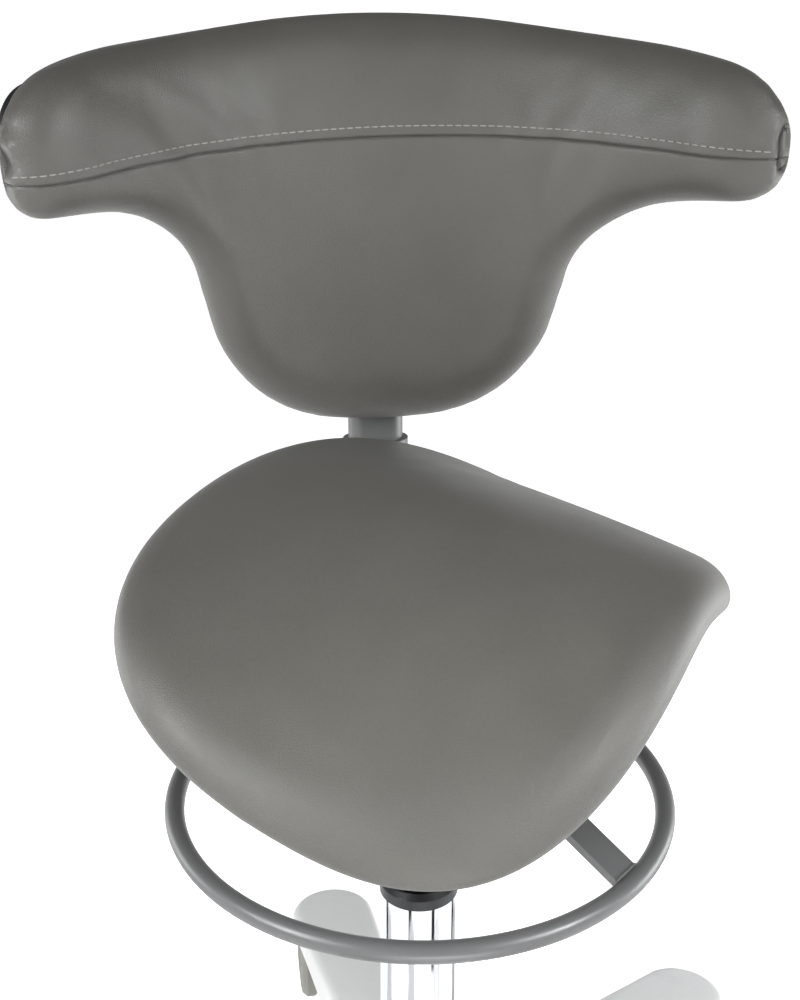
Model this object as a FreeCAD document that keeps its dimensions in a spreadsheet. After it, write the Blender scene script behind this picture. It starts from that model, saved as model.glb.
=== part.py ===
import FreeCAD, Part
import math
import os
from types import SimpleNamespace

import Sketcher
from FreeCAD import Placement, Rotation, Vector

# Saddle stool with a swing backrest and a foot-control ring. Millimetres, +Z up, the origin on the
# floor under the column. The sitter looks along -Y; the seat's left side is +X.

doc = FreeCAD.newDocument("SaddleStool")
sheet = doc.addObject("Spreadsheet::Sheet", "Sizes")
UP = Vector(0, 0, 1)


class Dim:
    """A size kept both as a number and as the formula that gives it from the sheet."""

    def __init__(self, value, text):
        self.value = value
        self.text = text

    def __float__(self):
        return float(self.value)

    def joined(self, other, sign, value):
        right = other.text if isinstance(other, Dim) else repr(other)
        return Dim(value, "(%s %s %s)" % (self.text, sign, right))

    def __add__(self, other):
        return self.joined(other, "+", float(self) + float(other))

    def __sub__(self, other):
        return self.joined(other, "-", float(self) - float(other))

    def __mul__(self, other):
        return self.joined(other, "*", float(self) * float(other))

    def __truediv__(self, other):
        return self.joined(other, "/", float(self) / float(other))

    def __neg__(self):
        return self * -1


ROWS = [
    ("wheel_radius", 28, "castor wheel radius"),
    ("wheel_inner", 15, "inner face of a wheel from the middle of its castor"),
    ("wheel_outer", 28, "outer face of a wheel from the middle of its castor"),
    ("wheel_dish", 3, "depth of the dish in a wheel's outer face"),
    ("trail", 20, "wheel axle behind the swivel axis"),
    ("axle_radius", 3, "castor axle radius"),
    ("fit_gap", 0.05, "radial clearance of a running fit"),
    ("fork_half", 14, "half width of a castor body"),
    ("fork_top", 62, "top of a castor body"),
    ("stem_radius", 5.5, "castor stem radius"),
    ("stem_flange", 11, "castor stem flange radius"),
    ("stem_top", 91, "top of a castor stem"),
    ("castor_turn", -6, "castor heading from its arm, degrees"),
    ("arm_turn", 42, "heading of the first arm, degrees"),
    ("swivel_radius", 255, "swivel axes from the column"),
    ("arm_end_half", 35, "half width of an arm over its castor"),
    ("arm_root_half", 22, "half width of an arm at the hub"),
    ("arm_wall", 6, "side wall of the hollow arm"),
    ("arm_top", 114.5, "height of an arm's top at the hub"),
    ("arm_end_top", 98, "height of an arm's top at its end"),
    ("arm_edge", 9, "rounding of an arm's top edges"),
    ("arch_height", 84, "underside of an arm over its castor"),
    ("arch_radius", 391, "curve of the arch"),
    ("arch_start", 64, "where the arch starts from the column"),
    ("arch_flat", 232, "where the arch levels out"),
    ("hollow_roof", 90, "roof of the hollow in an arm"),
    ("socket_radius", 13, "castor socket radius"),
    ("socket_low", 66, "bottom of a castor socket"),
    ("socket_roof", 92, "closed end of a castor socket's bore"),
    ("hub_radius", 34, "hub radius"),
    ("hub_low", 46, "bottom of the hub"),
    ("hub_high", 118, "top of the hub"),
    ("tube_radius", 25, "column tube radius"),
    ("tube_foot_radius", 23.6, "column tube radius at its foot"),
    ("tube_bore", 22, "column tube bore radius"),
    ("tube_low", 50, "foot of the column tube"),
    ("taper_high", 112, "top of the tapered foot"),
    ("tube_high", 310, "top of the column tube"),
    ("collar_high", 320, "top of the black collar"),
    ("collar_bore", 21, "collar opening radius"),
    ("collar_bevel", 3, "collar bevel"),
    ("bush_low", 180, "lower end of the guide bush"),
    ("bush_high", 314, "upper end of the guide bush"),
    ("rod_radius", 5, "piston rod radius"),
    ("rod_low", 44, "lower end of the piston rod"),
    ("piston_low", 262, "underside of the piston"),
    ("piston_tall", 14, "piston height"),
    ("gas_radius", 14, "pressure cylinder radius"),
    ("gas_bore", 12, "pressure cylinder bore radius"),
    ("gas_low", 222, "lower end of the pressure cylinder"),
    ("gas_floor", 232, "lower end of the bore"),
    ("gas_roof", 488, "upper end of the bore"),
    ("gas_cone_low", 445, "start of the cone"),
    ("gas_tip_radius", 13.2, "radius at the small end of the cone"),
    ("gas_high", 500, "top of the pressure cylinder"),
    ("pin_radius", 3, "release pin radius"),
    ("pin_low", 484, "lower end of the release pin"),
    ("pin_high", 504.9, "upper end of the release pin"),
    ("boss_low", 436, "bottom of the mechanism's boss"),
    ("boss_radius", 23, "lower boss radius"),
    ("bearing_radius", 30, "swing bearing radius"),
    ("bearing_low", 456.5, "bottom of the swing bearing"),
    ("block_low", 488, "bottom of the mechanism block"),
    ("block_half", 40, "half width of the mechanism block"),
    ("plate_low", 500, "bottom of the seat plate"),
    ("plate_high", 506, "top of the seat plate"),
    ("plate_half_x", 62, "half width of the seat plate"),
    ("plate_half_y", 72, "half depth of the seat plate"),
    ("plate_corner", 14, "corner rounding of the seat plate"),
    ("cavity_half", 7.5, "half width of the rocker's cavity"),
    ("cavity_floor", 497, "floor of the rocker's cavity"),
    ("ear_thick", 5.5, "thickness of a rocker ear"),
    ("ear_high", 514, "top of the rocker ears"),
    ("rocker_y", 14, "rocker axis behind the column"),
    ("rocker_z", 509.5, "rocker axis height"),
    ("rocker_low", 505.5, "underside of the rocker"),
    ("rocker_high", 513.5, "top of the rocker"),
    ("rocker_half", 6, "half width of the rocker"),
    ("axis_pin", 2.5, "rocker pin radius"),
    ("push_y", 25.5, "push rod behind the column"),
    ("push_radius", 2.5, "push rod radius"),
    ("push_low", 440.6, "lower end of the push rod"),
    ("push_high", 505, "upper end of the push rod"),
    ("screw_x", 48, "seat screws from the middle, sideways"),
    ("screw_y", 58, "seat screws from the middle, fore and aft"),
    ("screw_radius", 3, "seat screw radius"),
    ("screw_head", 5.5, "seat screw head radius"),
    ("screw_high", 516, "tip of the seat screws"),
    ("keeper_low", 452, "underside of the swing retainer"),
    ("keeper_radius", 37, "swing retainer radius"),
    ("yoke_low", 437, "bottom of the yoke"),
    ("yoke_high", 448, "top of the yoke"),
    ("yoke_bore", 30, "yoke opening radius"),
    ("yoke_radius", 38, "yoke radius"),
    ("tab_high", 440, "top of the yoke's finger"),
    ("trunnion_z", 442.5, "foot control's tilt axis"),
    ("trunnion_radius", 3, "trunnion pin radius"),
    ("trunnion_start", 15, "inner end of a trunnion pin"),
    ("trunnion_end", 39.5, "outer end of a trunnion pin"),
    ("ring_z", 383, "foot ring height"),
    ("ring_radius", 150, "foot ring radius to the tube's middle"),
    ("ring_tube", 6, "foot ring tube radius"),
    ("spoke_half", 10, "half width of a spoke"),
    ("spoke_thick", 5.5, "upright thickness of a spoke"),
    ("spoke_in", 444.2, "underside of a spoke at the yoke's opening"),
    ("spoke_out", 380.5, "underside of a spoke at its outer end"),
    ("spoke_reach", 149, "outer end of a spoke"),
    ("spoke_turn", -12.5, "spokes from the tilt direction, degrees"),
    ("back_turn", 33, "backrest heading, degrees"),
    ("swing_low", 457, "bottom of the swing collar"),
    ("swing_high", 487, "top of the swing collar"),
    ("swing_radius", 40, "swing collar radius"),
    ("bar_low", 462, "bottom of the swing arm"),
    ("bar_high", 482, "top of the swing arm"),
    ("bar_half", 10, "half width of the swing arm"),
    ("bar_edge", 3, "edge rounding of the swing arm"),
    ("post_x", 250, "post from the column"),
    ("post_round", 10, "radius of the post's rounded sides"),
    ("post_flat", 10.5, "half width of the post's flat"),
    ("post_wall", 2, "post wall"),
    ("post_low", 425, "bottom of the post"),
    ("post_spare", 10, "post above the backrest bracket"),
    ("sleeve_wall", 4, "wall of the post sleeve"),
    ("sleeve_low", 450, "bottom of the post sleeve"),
    ("sleeve_high", 530, "top of the post sleeve"),
    ("plug_lip", 3, "visible thickness of a post plug"),
    ("plug_depth", 8, "depth of a plug in the post"),
    ("knob_z", 500, "clamp knob height"),
    ("knob_screw", 4, "clamp screw radius"),
    ("knob_radius", 18, "clamp knob radius"),
    ("knob_start", 276, "inner face of the clamp knob"),
    ("knob_end", 296, "outer face of the clamp knob"),
    ("knob_bevel", 3, "clamp knob bevel"),
    ("knob_scallop", 6, "radius of a finger hollow in the clamp knob"),
    ("bend_radius", 241, "front of the backrest from the bend axis"),
    ("pad_thick", 40, "backrest cushion thickness"),
    ("shell_thick", 6, "backrest shell thickness"),
    ("wing_angle", 59, "half angle of the backrest's wings, degrees"),
    ("shell_angle", 54, "half angle of the backrest shell, degrees"),
    ("back_low", 557, "bottom of the backrest"),
    ("back_tall", 276, "height of the backrest"),
    ("wing_fall", 30, "fall of the top edge from the middle to the wing tips"),
    ("wing_deep", 84, "depth of a wing"),
    ("stem_share", 0.6, "half width of the stem under the wings, as a share of the wings' reach"),
    ("foot_share", 0.447, "half width of the stem at its foot, as a share of the wings' reach"),
    ("armpit_round", 58, "rounding between wing and stem"),
    ("tip_share_top", 0.52, "upper rounding of a wing tip, as a share of its depth"),
    ("tip_share_low", 0.33, "lower rounding of a wing tip, as a share of its depth"),
    ("pad_front_edge", 20, "front edge rounding of the backrest cushion"),
    ("pad_rear_edge", 9, "rear edge rounding of the backrest cushion"),
    ("shell_inset", 9, "backrest shell inside the cushion's outline"),
    ("bracket_rise", 23, "backrest bracket above the bottom of the backrest"),
    ("bracket_tall", 100, "height of the backrest bracket"),
    ("bracket_thick", 4, "backrest bracket between shell and post"),
    ("bracket_half", 20, "half width of the backrest bracket"),
    ("back_screw", 2.5, "backrest screw radius"),
    ("back_screw_head", 5, "backrest screw head radius"),
    ("back_screw_edge", 20, "backrest screws from the ends of the bracket"),
    ("seat_top", 574.5, "seat height at the column axis"),
    ("seat_front", 151, "seat length forward of the column"),
    ("seat_rear", 119.5, "seat length behind the column"),
    ("seat_half", 184.5, "seat half width"),
    ("seat_power", 2.64, "squareness of the seat's outline"),
    ("seat_flare", 0.05, "seat widening towards the front"),
    ("seat_roll", 17, "rolled rim outside the outline"),
    ("seat_pitch", 0.04, "forward fall of the ridge"),
    ("front_fall", 14, "extra fall of the ridge at the front"),
    ("rear_fall", 4, "extra fall of the ridge at the rear"),
    ("flap_drop", 57, "drop of the flaps"),
    ("flap_power", 1.6, "curve of the flaps"),
    ("flap_skew", 0.53, "more drop in front, less behind"),
    ("ridge_soft", 30, "softening of the ridge"),
    ("cushion_thick", 42, "seat cushion thickness"),
    ("pan_thick", 10, "seat pan thickness"),
    ("pan_inset", 40, "seat pan inside the cushion's outline"),
    ("block_round", 11, "mounting block radius"),
]

s = SimpleNamespace()
for row, (alias, value, note) in enumerate(ROWS, 1):
    sheet.set("A%d" % row, note)
    sheet.set("B%d" % row, str(value))
    sheet.setAlias("B%d" % row, alias)
    setattr(s, alias, Dim(value, "Sizes." + alias))
doc.recompute()


def bind(thing, path, size):
    """Tie one property of a document object to its size."""
    if isinstance(size, Dim):
        thing.setExpression(path, size.text)


def draw(sketch, outline):
    """Closed outline of (x, y) or (x, y, radius) corners. A radius bends the side that starts
    at that corner: positive with its centre on the left of the way round, negative on the right."""
    spots = [Vector(float(corner[0]), float(corner[1]), 0) for corner in outline]
    sides = []
    for number, corner in enumerate(outline):
        a, b = spots[number], spots[(number + 1) % len(spots)]
        if len(corner) == 2:
            sides.append((sketch.addGeometry(Part.LineSegment(a, b)), 1, 2))
            continue
        radius = abs(float(corner[2]))
        turn = math.copysign(1, float(corner[2]))
        chord = b - a
        rise = math.sqrt(max(radius ** 2 - chord.Length ** 2 / 4, 0))
        centre = (a + b) * 0.5 + Vector(-chord.y, chord.x, 0).normalize() * rise * turn
        first, last = (a, b) if turn > 0 else (b, a)
        start = math.atan2(first.y - centre.y, first.x - centre.x)
        stop = math.atan2(last.y - centre.y, last.x - centre.x)
        if stop < start:
            stop += 2 * math.pi
        arc = sketch.addGeometry(Part.ArcOfCircle(Part.Circle(centre, UP, radius), start, stop))
        bend = sketch.addConstraint(Sketcher.Constraint("Radius", arc, radius))
        bind(sketch, "Constraints[%d]" % bend, corner[2] if turn > 0 else -corner[2])
        sides.append((arc, 1, 2) if turn > 0 else (arc, 2, 1))
    for number, (side, head, tail) in enumerate(sides):
        after = sides[(number + 1) % len(sides)]
        sketch.addConstraint(Sketcher.Constraint("Coincident", side, tail, after[0], after[1]))
        x, y = outline[number][:2]
        for way, axis, size in (("DistanceX", -2, x), ("DistanceY", -1, y)):
            if float(size) == 0:
                sketch.addConstraint(Sketcher.Constraint("PointOnObject", side, head, axis))
                continue
            place = sketch.addConstraint(Sketcher.Constraint(way, -1, 1, side, head, float(size)))
            bind(sketch, "Constraints[%d]" % place, size)


def circle(sketch, x, y, radius):
    """Circle with bound centre and radius."""
    ring = sketch.addGeometry(Part.Circle(Vector(float(x), float(y), 0), UP, float(radius)))
    bend = sketch.addConstraint(Sketcher.Constraint("Radius", ring, float(radius)))
    bind(sketch, "Constraints[%d]" % bend, radius)
    for way, axis, size in (("DistanceX", -2, x), ("DistanceY", -1, y)):
        if float(size) == 0:
            sketch.addConstraint(Sketcher.Constraint("PointOnObject", ring, 3, axis))
            continue
        place = sketch.addConstraint(Sketcher.Constraint(way, -1, 1, ring, 3, float(size)))
        bind(sketch, "Constraints[%d]" % place, size)


def rectangle(x0, x1, y0, y1):
    return [(x0, y0), (x1, y0), (x1, y1), (x0, y1)]


def stadium(x, flat, radius):
    """Flat-oval outline: two flats of half width flat along Y and two rounded sides."""
    return [(x + radius, -flat), (x + radius, flat, radius), (x, flat + radius, radius),
            (x - radius, flat), (x - radius, -flat, radius), (x, -(flat + radius), radius)]


def new_body(label):
    return doc.addObject("PartDesign::Body", label)


def new_sketch(body, role, outlines, rise=None):
    """Sketch on one of the body's main planes, lifted off it by rise."""
    sketch = body.newObject("Sketcher::SketchObject", body.Name + "_sketch")
    plane = [feature for feature in body.Origin.OriginFeatures if feature.Role == role][0]
    sketch.AttachmentSupport = (plane, [""])
    sketch.MapMode = "FlatFace"
    if rise is not None:
        bind(sketch, "AttachmentOffset.Base.z", rise)
    for outline in outlines:
        if isinstance(outline, list):
            draw(sketch, outline)
        else:
            circle(sketch, *outline)
    return sketch


def feature(body, kind, sketch, length, symmetric=False, reverse=False):
    """Pad or Pocket of a sketch."""
    made = body.newObject("PartDesign::" + kind, body.Name + "_" + kind.lower())
    made.Profile = sketch
    made.SideType = "Symmetric" if symmetric else "One side"
    made.Reversed = reverse
    bind(made, "Length", length)
    return made


def turn(body, kind, outline, axis="V_Axis", rise=None):
    """Revolution or Groove of a half section drawn in the XZ plane."""
    sketch = new_sketch(body, "XZ_Plane", [outline])
    if rise is not None:
        bind(sketch, "AttachmentOffset.Base.y", rise)
    made = body.newObject("PartDesign::" + kind, body.Name + "_" + kind.lower())
    made.Profile = sketch
    made.ReferenceAxis = (sketch, [axis])
    made.Angle = 360
    return made


def turned(label, outline):
    body = new_body(label)
    turn(body, "Revolution", outline)
    return body


def tube(label, inner, outer, low, high):
    """Plain ring or sleeve round the column axis."""
    return turned(label, [(inner, low), (outer, low), (outer, high), (inner, high)])


def prism(label, role, outlines, length, rise=None, symmetric=False):
    body = new_body(label)
    feature(body, "Pad", new_sketch(body, role, outlines, rise), length, symmetric)
    return body


def round_edges(body, chosen, radius):
    """Fillet the edges of the body for which chosen is true."""
    doc.recompute()
    base = body.Tip
    names = ["Edge%d" % (i + 1) for i, edge in enumerate(base.Shape.Edges) if chosen(edge)]
    fillet = body.newObject("PartDesign::Fillet", body.Name + "_fillet")
    fillet.Base = (base, names)
    bind(fillet, "Radius", radius)


def cylinder(label, radius, length, x, y, z, way=UP):
    """Part cylinder with bound sizes and place, lying along way."""
    made = doc.addObject("Part::Cylinder", label)
    made.Placement = Placement(Vector(), Rotation(UP, way))
    for path, size in (("Radius", radius), ("Height", length), ("Placement.Base.x", x),
                       ("Placement.Base.y", y), ("Placement.Base.z", z)):
        bind(made, path, size)
    return made


def cut(label, base, tools):
    """Base less each of the tools in turn."""
    for number, tool in enumerate(tools):
        made = doc.addObject("Part::Cut", label if number == len(tools) - 1 else label + "_rough")
        made.Base = base
        made.Tool = tool
        base = made
    return base


def group(label, pieces):
    """Separate like solids that share one node."""
    made = doc.addObject("Part::Compound", label)
    made.Links = pieces
    return made


def head_for(thing, angle):
    """Turn a finished piece about the column to its heading."""
    thing.Placement = Placement(Vector(), Rotation(UP, float(angle)))
    bind(thing, "Placement.Rotation.Angle", angle)
    return thing


nodes = []


def keep(*things):
    nodes.extend(things)


# Five-arm base: one hollow arm with its arch and castor socket, repeated round the hub.
base = new_body("star_base")
half_slope = (s.arm_end_half - s.arm_root_half) / s.swivel_radius
arm_reach = s.swivel_radius + s.arm_end_half
feature(base, "Pad", new_sketch(base, "XY_Plane", [[
    (0, -s.arm_root_half), (s.swivel_radius, -s.arm_end_half, s.arm_end_half),
    (arm_reach, 0, s.arm_end_half), (s.swivel_radius, s.arm_end_half), (0, s.arm_root_half)]],
    s.hub_low), s.arm_top - s.hub_low)
feature(base, "Pocket", new_sketch(base, "XZ_Plane", [[
    (s.arch_start, s.hub_low - 5), (arm_reach + 5, s.hub_low - 5), (arm_reach + 5, s.arch_height),
    (s.arch_flat, s.arch_height, s.arch_radius), (s.arch_start, s.hub_low)]]),
    s.arm_end_half * 2 + 4, symmetric=True)
feature(base, "Pocket", new_sketch(base, "XZ_Plane", [[
    (0, s.arm_top), (arm_reach, s.arm_end_top), (arm_reach + 5, s.arm_end_top),
    (arm_reach + 5, s.arm_top + 5), (0, s.arm_top + 5)]]), s.arm_end_half * 2 + 4, symmetric=True)
round_edges(base, lambda edge: min(v.Z for v in edge.Vertexes) > float(s.arm_end_top) - 1
            and edge.CenterOfMass.x > 20, s.arm_edge)
hollow_start = s.hub_radius + 18
hollow_end = s.swivel_radius - 27
hollow_root = s.arm_root_half + half_slope * hollow_start - s.arm_wall
hollow_tip = s.arm_root_half + half_slope * hollow_end - s.arm_wall
feature(base, "Pocket", new_sketch(base, "XY_Plane", [[
    (hollow_start, -hollow_root), (hollow_end, -hollow_tip), (hollow_end, hollow_tip),
    (hollow_start, hollow_root)]], s.hub_low - 5), s.hollow_roof - s.hub_low + 5, reverse=True)
feature(base, "Pad", new_sketch(base, "XY_Plane", [(s.swivel_radius, 0, s.socket_radius)], s.socket_low),
        s.arch_height - s.socket_low + 2)
feature(base, "Pocket", new_sketch(base, "XY_Plane", [(s.swivel_radius, 0, s.stem_radius + s.fit_gap)],
                                   s.socket_low), s.socket_roof - s.socket_low, reverse=True)
doc.recompute()
star = base.newObject("PartDesign::PolarPattern", "star_base_pattern")
star.TransformMode = "Whole shape"
star.Axis = ([f for f in base.Origin.OriginFeatures if f.Role == "Z_Axis"][0], [""])
star.Occurrences = 5
star.Angle = 360
base.Tip = star
turn(base, "Revolution", [(0, s.hub_low), (s.hub_radius, s.hub_low), (s.hub_radius, s.hub_high - 3),
                          (s.hub_radius - 3, s.hub_high), (0, s.hub_high)])
turn(base, "Groove", [
    (0, s.hub_low - 5), (s.tube_foot_radius, s.hub_low - 5), (s.tube_foot_radius, s.tube_low),
    (s.tube_radius, s.taper_high), (s.tube_radius, s.hub_high + 5), (0, s.hub_high + 5)])
keep(head_for(base, s.arm_turn))

# Castors, each drawn round its own swivel axis and then moved out to its arm.
wheel_turn = s.wheel_radius - s.axle_radius
for number in range(5):
    tag = "_%d" % (number + 1)
    heading = s.arm_turn + 72 * number
    stem = turned("castor_stem" + tag, [
        (0, s.fork_top - 14), (s.stem_radius, s.fork_top - 14), (s.stem_radius, s.fork_top),
        (s.stem_flange, s.fork_top), (s.stem_flange, s.socket_low - 0.5), (s.stem_radius, s.socket_low - 0.5),
        (s.stem_radius, s.stem_top - 2), (s.stem_radius - 2, s.stem_top), (0, s.stem_top)])
    fork = prism("castor_body" + tag, "XZ_Plane", [[
        (-s.stem_flange, s.wheel_radius + 8), (-s.stem_flange + 6, s.wheel_radius - 8),
        (s.trail - 6, s.wheel_radius - 16), (s.trail + 8, s.wheel_radius - 16, wheel_turn * 0.9),
        (s.trail + 22, s.wheel_radius + 4, wheel_turn * 1.4), (s.trail - 4, s.fork_top - 6),
        (s.stem_flange, s.fork_top), (-s.stem_flange, s.fork_top)]], s.fork_half * 2, symmetric=True)
    feature(fork, "Pocket", new_sketch(fork, "XZ_Plane", [(s.trail, s.wheel_radius, s.axle_radius)]),
            s.fork_half * 2 + 2, symmetric=True)
    feature(fork, "Pocket", new_sketch(fork, "XY_Plane", [(0, 0, s.stem_radius)], s.fork_top - 14),
            s.trail, reverse=True)
    axle = prism("castor_axle" + tag, "XZ_Plane", [(s.trail, s.wheel_radius, s.axle_radius)],
                 s.wheel_outer * 2 - 4, symmetric=True)
    pieces = [stem, fork, axle]
    for side, sign in (("left", 1), ("right", -1)):
        wheel = new_body("castor_wheel_%s%s" % (side, tag))
        bore = s.axle_radius + s.fit_gap
        turn(wheel, "Revolution", [
            (bore, s.wheel_inner), (s.wheel_radius - 2, s.wheel_inner), (s.wheel_radius, s.wheel_inner + 2),
            (s.wheel_radius, s.wheel_outer - 4), (s.wheel_radius - 4, s.wheel_outer),
            (s.wheel_radius - 7, s.wheel_outer - s.wheel_dish), (bore, s.wheel_outer - 1)])
        wheel.Placement = Placement(Vector(), Rotation(UP, Vector(0, sign, 0)))
        pieces.append(wheel)
    for piece in pieces:
        spin = Rotation(UP, float(heading + s.castor_turn))
        rolling = piece in pieces[3:]
        middle = Vector(float(s.trail), 0, float(s.wheel_radius)) if rolling else Vector()
        out = Rotation(UP, float(heading)).multVec(Vector(float(s.swivel_radius), 0, 0))
        piece.Placement = Placement(out + spin.multVec(middle), spin * piece.Placement.Rotation)
    keep(*pieces)

# Gas column.
keep(turned("column_tube", [
    (s.rod_radius + 4, s.tube_low), (s.tube_foot_radius, s.tube_low), (s.tube_radius, s.taper_high),
    (s.tube_radius, s.tube_high), (s.tube_bore, s.tube_high), (s.tube_bore, s.tube_low + 5),
    (s.rod_radius + 4, s.tube_low + 5)]))
keep(turned("column_collar", [
    (s.collar_bore, s.tube_high), (s.tube_radius, s.tube_high),
    (s.tube_radius, s.collar_high - s.collar_bevel), (s.tube_radius - s.collar_bevel, s.collar_high),
    (s.collar_bore, s.collar_high)]))
keep(turned("guide_bush", [
    (s.gas_radius + s.fit_gap, s.bush_low), (s.tube_bore, s.bush_low), (s.tube_bore, s.tube_high),
    (s.collar_bore, s.tube_high), (s.collar_bore, s.bush_high), (s.gas_radius + s.fit_gap, s.bush_high)]))
keep(tube("thrust_bearing", s.rod_radius + s.fit_gap, s.rod_radius + 6, s.tube_low + 5, s.tube_low + 12))
keep(turned("piston_rod", [
    (0, s.rod_low), (s.rod_radius - 1, s.rod_low), (s.rod_radius, s.rod_low + 1),
    (s.rod_radius, s.piston_low), (s.rod_radius - 1, s.piston_low),
    (s.rod_radius - 1, s.piston_low + s.piston_tall),
    (0, s.piston_low + s.piston_tall)]))
keep(tube("piston", s.rod_radius - 1, s.gas_bore - s.fit_gap, s.piston_low, s.piston_low + s.piston_tall))
keep(tube("rod_clip", s.rod_radius, s.rod_radius + 5, s.tube_low - 2.5, s.tube_low - 0.5))
keep(turned("pressure_cylinder", [
    (s.rod_radius + s.fit_gap, s.gas_low), (s.gas_radius, s.gas_low), (s.gas_radius, s.gas_cone_low),
    (s.gas_tip_radius, s.gas_high), (s.pin_radius + s.fit_gap, s.gas_high),
    (s.pin_radius + s.fit_gap, s.gas_roof), (s.gas_bore, s.gas_roof), (s.gas_bore, s.gas_floor),
    (s.rod_radius + s.fit_gap, s.gas_floor)]))
keep(turned("release_pin", [
    (0, s.pin_low), (s.pin_radius, s.pin_low), (s.pin_radius, s.pin_high), (0, s.pin_high)]))

# Mechanism under the seat, with the swing bearing round it and the release rocker in its top.
mech = new_body("seat_mechanism")
turn(mech, "Revolution", [
    (0, s.boss_low), (s.boss_radius, s.boss_low), (s.boss_radius, s.bearing_low),
    (s.bearing_radius, s.bearing_low), (s.bearing_radius, s.block_low), (0, s.block_low)])
feature(mech, "Pad", new_sketch(mech, "XY_Plane", [
    rectangle(-s.block_half, s.block_half, -s.block_half, s.block_half)], s.block_low),
    s.plate_low - s.block_low)
feature(mech, "Pad", new_sketch(mech, "XY_Plane", [
    rectangle(-s.plate_half_x, s.plate_half_x, -s.plate_half_y, s.plate_half_y)], s.plate_low),
    s.plate_high - s.plate_low)
round_edges(mech, lambda edge: edge.BoundBox.ZMin > float(s.plate_low) - 0.1 and edge.BoundBox.ZLength > 5
            and abs(edge.CenterOfMass.x) > float(s.block_half) + 5, s.plate_corner)
ear_outer = s.cavity_half + s.ear_thick
feature(mech, "Pad", new_sketch(mech, "XY_Plane", [
    rectangle(s.cavity_half, ear_outer, s.rocker_y - 6, s.rocker_y + 6),
    rectangle(-ear_outer, -s.cavity_half, s.rocker_y - 6, s.rocker_y + 6)], s.plate_high),
    s.ear_high - s.plate_high)
feature(mech, "Pocket", new_sketch(mech, "XY_Plane", [
    rectangle(-s.cavity_half, s.cavity_half, -s.gas_bore, s.push_y + 8)], s.plate_high),
    s.plate_high - s.cavity_floor)
feature(mech, "Pocket", new_sketch(mech, "XY_Plane", [(0, s.push_y, s.push_radius + s.fit_gap)], s.boss_low),
        s.plate_low - s.boss_low, reverse=True)
feature(mech, "Pocket", new_sketch(mech, "XY_Plane", [
    (s.screw_x * i, s.screw_y * j, s.screw_radius + s.fit_gap) for i in (-1, 1) for j in (-1, 1)],
    s.plate_high), s.plate_high - s.plate_low)
feature(mech, "Pocket", new_sketch(mech, "YZ_Plane", [(s.rocker_y, s.rocker_z, s.axis_pin)]),
        ear_outer * 2 + 2, symmetric=True)
feature(mech, "Pocket", new_sketch(mech, "YZ_Plane", [(0, s.trunnion_z, s.trunnion_radius)]),
        s.boss_radius * 2 + 2, symmetric=True)
turn(mech, "Groove", [
    (0, s.boss_low - 2), (s.gas_radius, s.boss_low - 2), (s.gas_radius, s.gas_cone_low),
    (s.gas_tip_radius, s.gas_high), (0, s.gas_high)])
keep(mech)
keeper = tube("swing_retainer", s.boss_radius, s.keeper_radius, s.keeper_low, s.bearing_low)
feature(keeper, "Pocket", new_sketch(keeper, "XY_Plane", [
    (0, s.push_y, s.push_radius + s.fit_gap)], s.bearing_low), s.bearing_low - s.keeper_low)
keep(keeper)
keep(cylinder("push_rod", s.push_radius, s.push_high - s.push_low, 0, s.push_y, s.push_low))
rocker = prism("release_rocker", "YZ_Plane", [
    [(-s.axis_pin * 2, s.rocker_low), (s.push_y + 4, s.rocker_low), (s.push_y + 4, s.rocker_low + 4),
     (s.rocker_y + 6, s.rocker_high), (s.rocker_y - 6, s.rocker_high), (-s.axis_pin * 2, s.rocker_low + 4)],
    (s.rocker_y, s.rocker_z, s.axis_pin + s.fit_gap)], s.rocker_half * 2, symmetric=True)
keep(rocker)
keep(cylinder("rocker_pin", s.axis_pin, ear_outer * 2, -ear_outer, s.rocker_y, s.rocker_z, Vector(1, 0, 0)))

# Foot control: ring, two spokes and a yoke that rocks on trunnion pins.
ring = doc.addObject("Part::Torus", "foot_ring")
bind(ring, "Radius1", s.ring_radius)
bind(ring, "Radius2", s.ring_tube)
bind(ring, "Placement.Base.z", s.ring_z)
keep(ring)
yoke = tube("yoke", s.yoke_bore, s.yoke_radius, s.yoke_low, s.yoke_high)
feature(yoke, "Pad", new_sketch(yoke, "XY_Plane", [
    rectangle(-s.push_radius * 1.6, s.push_radius * 1.6, s.boss_radius + 0.5, s.yoke_bore + 2)], s.yoke_low),
    s.tab_high - s.yoke_low)
feature(yoke, "Pocket", new_sketch(yoke, "YZ_Plane", [(0, s.trunnion_z, s.trunnion_radius + s.fit_gap)]),
        s.yoke_radius * 2 + 2, symmetric=True)
keep(yoke)
core = cylinder("yoke_core", s.yoke_radius, s.yoke_high - s.yoke_low + 20, 0, 0, s.yoke_low - 10)
for name, sign in (("front_spoke", -1), ("rear_spoke", 1)):
    bar = prism(name + "_bar", "YZ_Plane", [[
        (s.yoke_bore * sign, s.spoke_in), (s.spoke_reach * sign, s.spoke_out),
        (s.spoke_reach * sign, s.spoke_out + s.spoke_thick),
        (s.yoke_bore * sign, s.spoke_in + s.spoke_thick)]],
        s.spoke_half * 2, symmetric=True)
    keep(head_for(cut(name, bar, [core, ring]), s.spoke_turn))
pins = []
for name, start in (("left", s.trunnion_start), ("right", -s.trunnion_end)):
    pins.append(cylinder("trunnion_pin_" + name, s.trunnion_radius, s.trunnion_end - s.trunnion_start,
                         start, 0, s.trunnion_z, Vector(1, 0, 0)))
keep(group("trunnion_pins", pins))

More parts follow.
